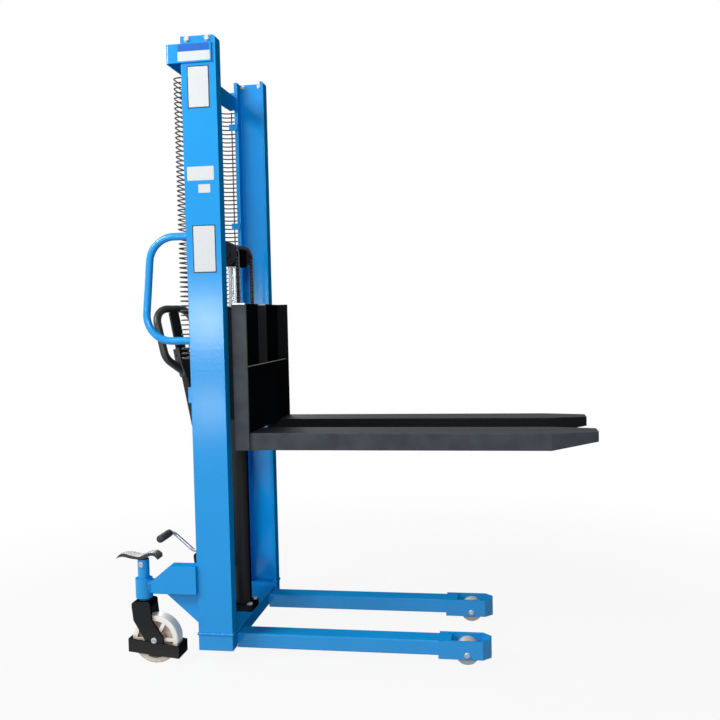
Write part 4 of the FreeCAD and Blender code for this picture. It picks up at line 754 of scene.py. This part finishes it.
class STACKER_OT_stage(bpy.types.Operator):
    """Sets the floor, the lights, the background and the camera"""
    bl_idname = "stacker.stage"
    bl_label = "Stage"

    def execute(self, context):
        scene = context.scene
        scene.view_settings.view_transform = "Standard"
        self.background(scene)
        self.floor(scene)
        self.lamps(scene)
        self.camera(scene)
        return {"FINISHED"}

    def seen(self, tree):
        """1 for a ray that the camera, gloss or glass sends, and 0 for one that carries light."""
        rays = add(tree, "LightPath").outputs
        seen = add(tree, "Math", {0: rays["Is Camera Ray"], 1: rays["Is Glossy Ray"]}, operation="MAXIMUM").outputs[0]
        return add(tree, "Math", {0: seen, 1: rays["Is Transmission Ray"]}, operation="MAXIMUM").outputs[0]

    def background(self, scene):
        """White where the camera, gloss or glass sees it, and a softer light for everything else."""
        world = bpy.data.worlds.new("studio")
        scene.world = world
        world.use_nodes = True
        tree = world.node_tree
        tree.nodes.clear()
        seen = self.seen(tree)
        white = add(tree, "Background", {"Color": (1, 1, 1, 1), "Strength": 1.0})
        soft = add(tree, "Background", {"Color": (0.94, 0.97, 1, 1), "Strength": 0.06})
        mix = add(tree, "MixShader", {0: seen, 1: soft.outputs[0], 2: white.outputs[0]})
        add(tree, "OutputWorld", {"Surface": mix.outputs[0]})

    def floor(self, scene):
        """Pale floor that keeps the object's shadow and fades into the white background away from it."""
        line = np.linspace(-30, 30, 3)
        x, y = np.meshgrid(line, line, indexing="ij")
        grid = np.stack([x, y, 0 * x], axis=-1)
        finish = bpy.data.materials.new("pale_floor")
        finish.use_nodes = True
        tree = finish.node_tree
        tree.nodes.clear()
        seen = self.seen(tree)
        place = add(tree, "TexCoord").outputs["Object"]
        away = add(tree, "VectorMath", {0: place}, operation="LENGTH").outputs["Value"]
        fade = add(tree, "MapRange", {"Value": away, "From Min": 1.0, "From Max": 3.0, "To Min": 0.91,
                                      "To Max": 1.0}, interpolation_type="SMOOTHSTEP").outputs["Result"]
        share = add(tree, "Math", {0: seen, 1: fade}, operation="MULTIPLY").outputs[0]
        matt = add(tree, "BsdfDiffuse", {"Color": (0.45, 0.45, 0.45, 1)})
        white = add(tree, "Emission", {"Color": (1, 1, 1, 1), "Strength": 1.0})
        mix = add(tree, "MixShader", {0: share, 1: matt.outputs[0], 2: white.outputs[0]})
        add(tree, "OutputMaterial", {"Surface": mix.outputs[0]})
        mesh = bpy.data.meshes.new("studio_floor")
        mesh.from_pydata(grid.reshape(-1, 3).tolist(), [], grid_faces(1, 3, 3).tolist())
        mesh.materials.append(finish)
        floor = bpy.data.objects.new("studio_floor", mesh)
        scene.collection.objects.link(floor)

    def lamps(self, scene):
        """Key light from the left, a lamp near the top, two small lamps that the side of the mast mirrors, a fill near
        the camera, a wide lamp above and one behind."""
        # Name, place, target, size in metres and power in watts
        lamps = (("key", (-5.0, -3.4, 4.4), (-0.3, 0, 1.3), 2.5, 185),
                 ("high", (-2.2, -2.2, 2.9), (-0.4, 0, 1.6), 1.0, 50),
                 ("mirrored", (-1.8, -4.2, 1.16), (-0.3, 0, 1.1), 0.34, 9),
                 ("mirrored_low", (-1.8, -4.2, 0.47), (-0.3, 0, 0.9), 0.22, 3),
                 ("fill", (0.85, -5.0, 2.4), (-0.4, 0, 1.3), 1.0, 98),
                 ("above", (0.2, -0.4, 5.0), (0, 0, 0), 3.0, 30),
                 ("rear", (-2.6, 4.2, 2.4), (-0.2, 0, 1.1), 2.0, 130))
        for name, place, target, size, power in lamps:
            light = bpy.data.lights.new(name, "AREA")
            light.energy = power
            light.size = size
            lamp = bpy.data.objects.new(name, light)
            lamp.location = place
            lamp.rotation_euler = (Vector(target) - Vector(place)).to_track_quat("-Z", "Y").to_euler()
            scene.collection.objects.link(lamp)

    def camera(self, scene):
        """Camera fitted to the photographed machine's edges: place, and turns in radians."""
        yaw, pitch, roll = 0.160, 0.050, -0.022
        back = Vector((math.sin(yaw) * math.cos(pitch), -math.cos(yaw) * math.cos(pitch), math.sin(pitch)))
        right = (-back).cross(Vector((0, 0, 1))).normalized()
        up = right.cross(-back)
        across = right * math.cos(roll) + up * math.sin(roll)
        above = up * math.cos(roll) - right * math.sin(roll)
        lens = bpy.data.cameras.new("photo_view")
        lens.lens = 43.83
        lens.sensor_width = 36.0
        lens.clip_end = 100
        eye = bpy.data.objects.new("photo_view", lens)
        turn = Matrix((across, above, back)).transposed()
        eye.rotation_euler = turn.to_euler()
        eye.location = (MAST_FRONT + 0.9134, -3.1371, 1.1744)
        scene.collection.objects.link(eye)
        scene.camera = eye


OPERATORS = (STACKER_OT_coat_solids, STACKER_OT_mesh_guard, STACKER_OT_lift_chains, STACKER_OT_bolts,
             STACKER_OT_weld_beads, STACKER_OT_label_plates, STACKER_OT_highlight_edges, STACKER_OT_pedal_sleeve,
             STACKER_OT_stage)


class STACKER_PT_sidebar(bpy.types.Panel):
    """Lists the stacker's settings and steps"""
    bl_label = "Hand pallet stacker"
    bl_idname = "STACKER_PT_sidebar"
    bl_space_type = "VIEW_3D"
    bl_region_type = "UI"
    bl_category = "Stacker"

    def draw(self, context):
        for field in StackerSettings.__annotations__:
            self.layout.prop(context.scene.stacker, field)
        for operator in OPERATORS:
            self.layout.operator(operator.bl_idname)


CLASSES = (StackerSettings, *OPERATORS, STACKER_PT_sidebar)


def register():
    for item in CLASSES:
        bpy.utils.register_class(item)
    bpy.types.Scene.stacker = PointerProperty(type=StackerSettings)


def unregister():
    del bpy.types.Scene.stacker
    for item in reversed(CLASSES):
        bpy.utils.unregister_class(item)


def main():
    register()
    bpy.ops.stacker.coat_solids()
    bpy.ops.stacker.mesh_guard()
    bpy.ops.stacker.lift_chains()
    bpy.ops.stacker.bolts()
    bpy.ops.stacker.weld_beads()
    bpy.ops.stacker.label_plates()
    bpy.ops.stacker.worn_edges()
    bpy.ops.stacker.pedal_sleeve()
    bpy.ops.stacker.stage()


if __name__ == "__main__":
    main()
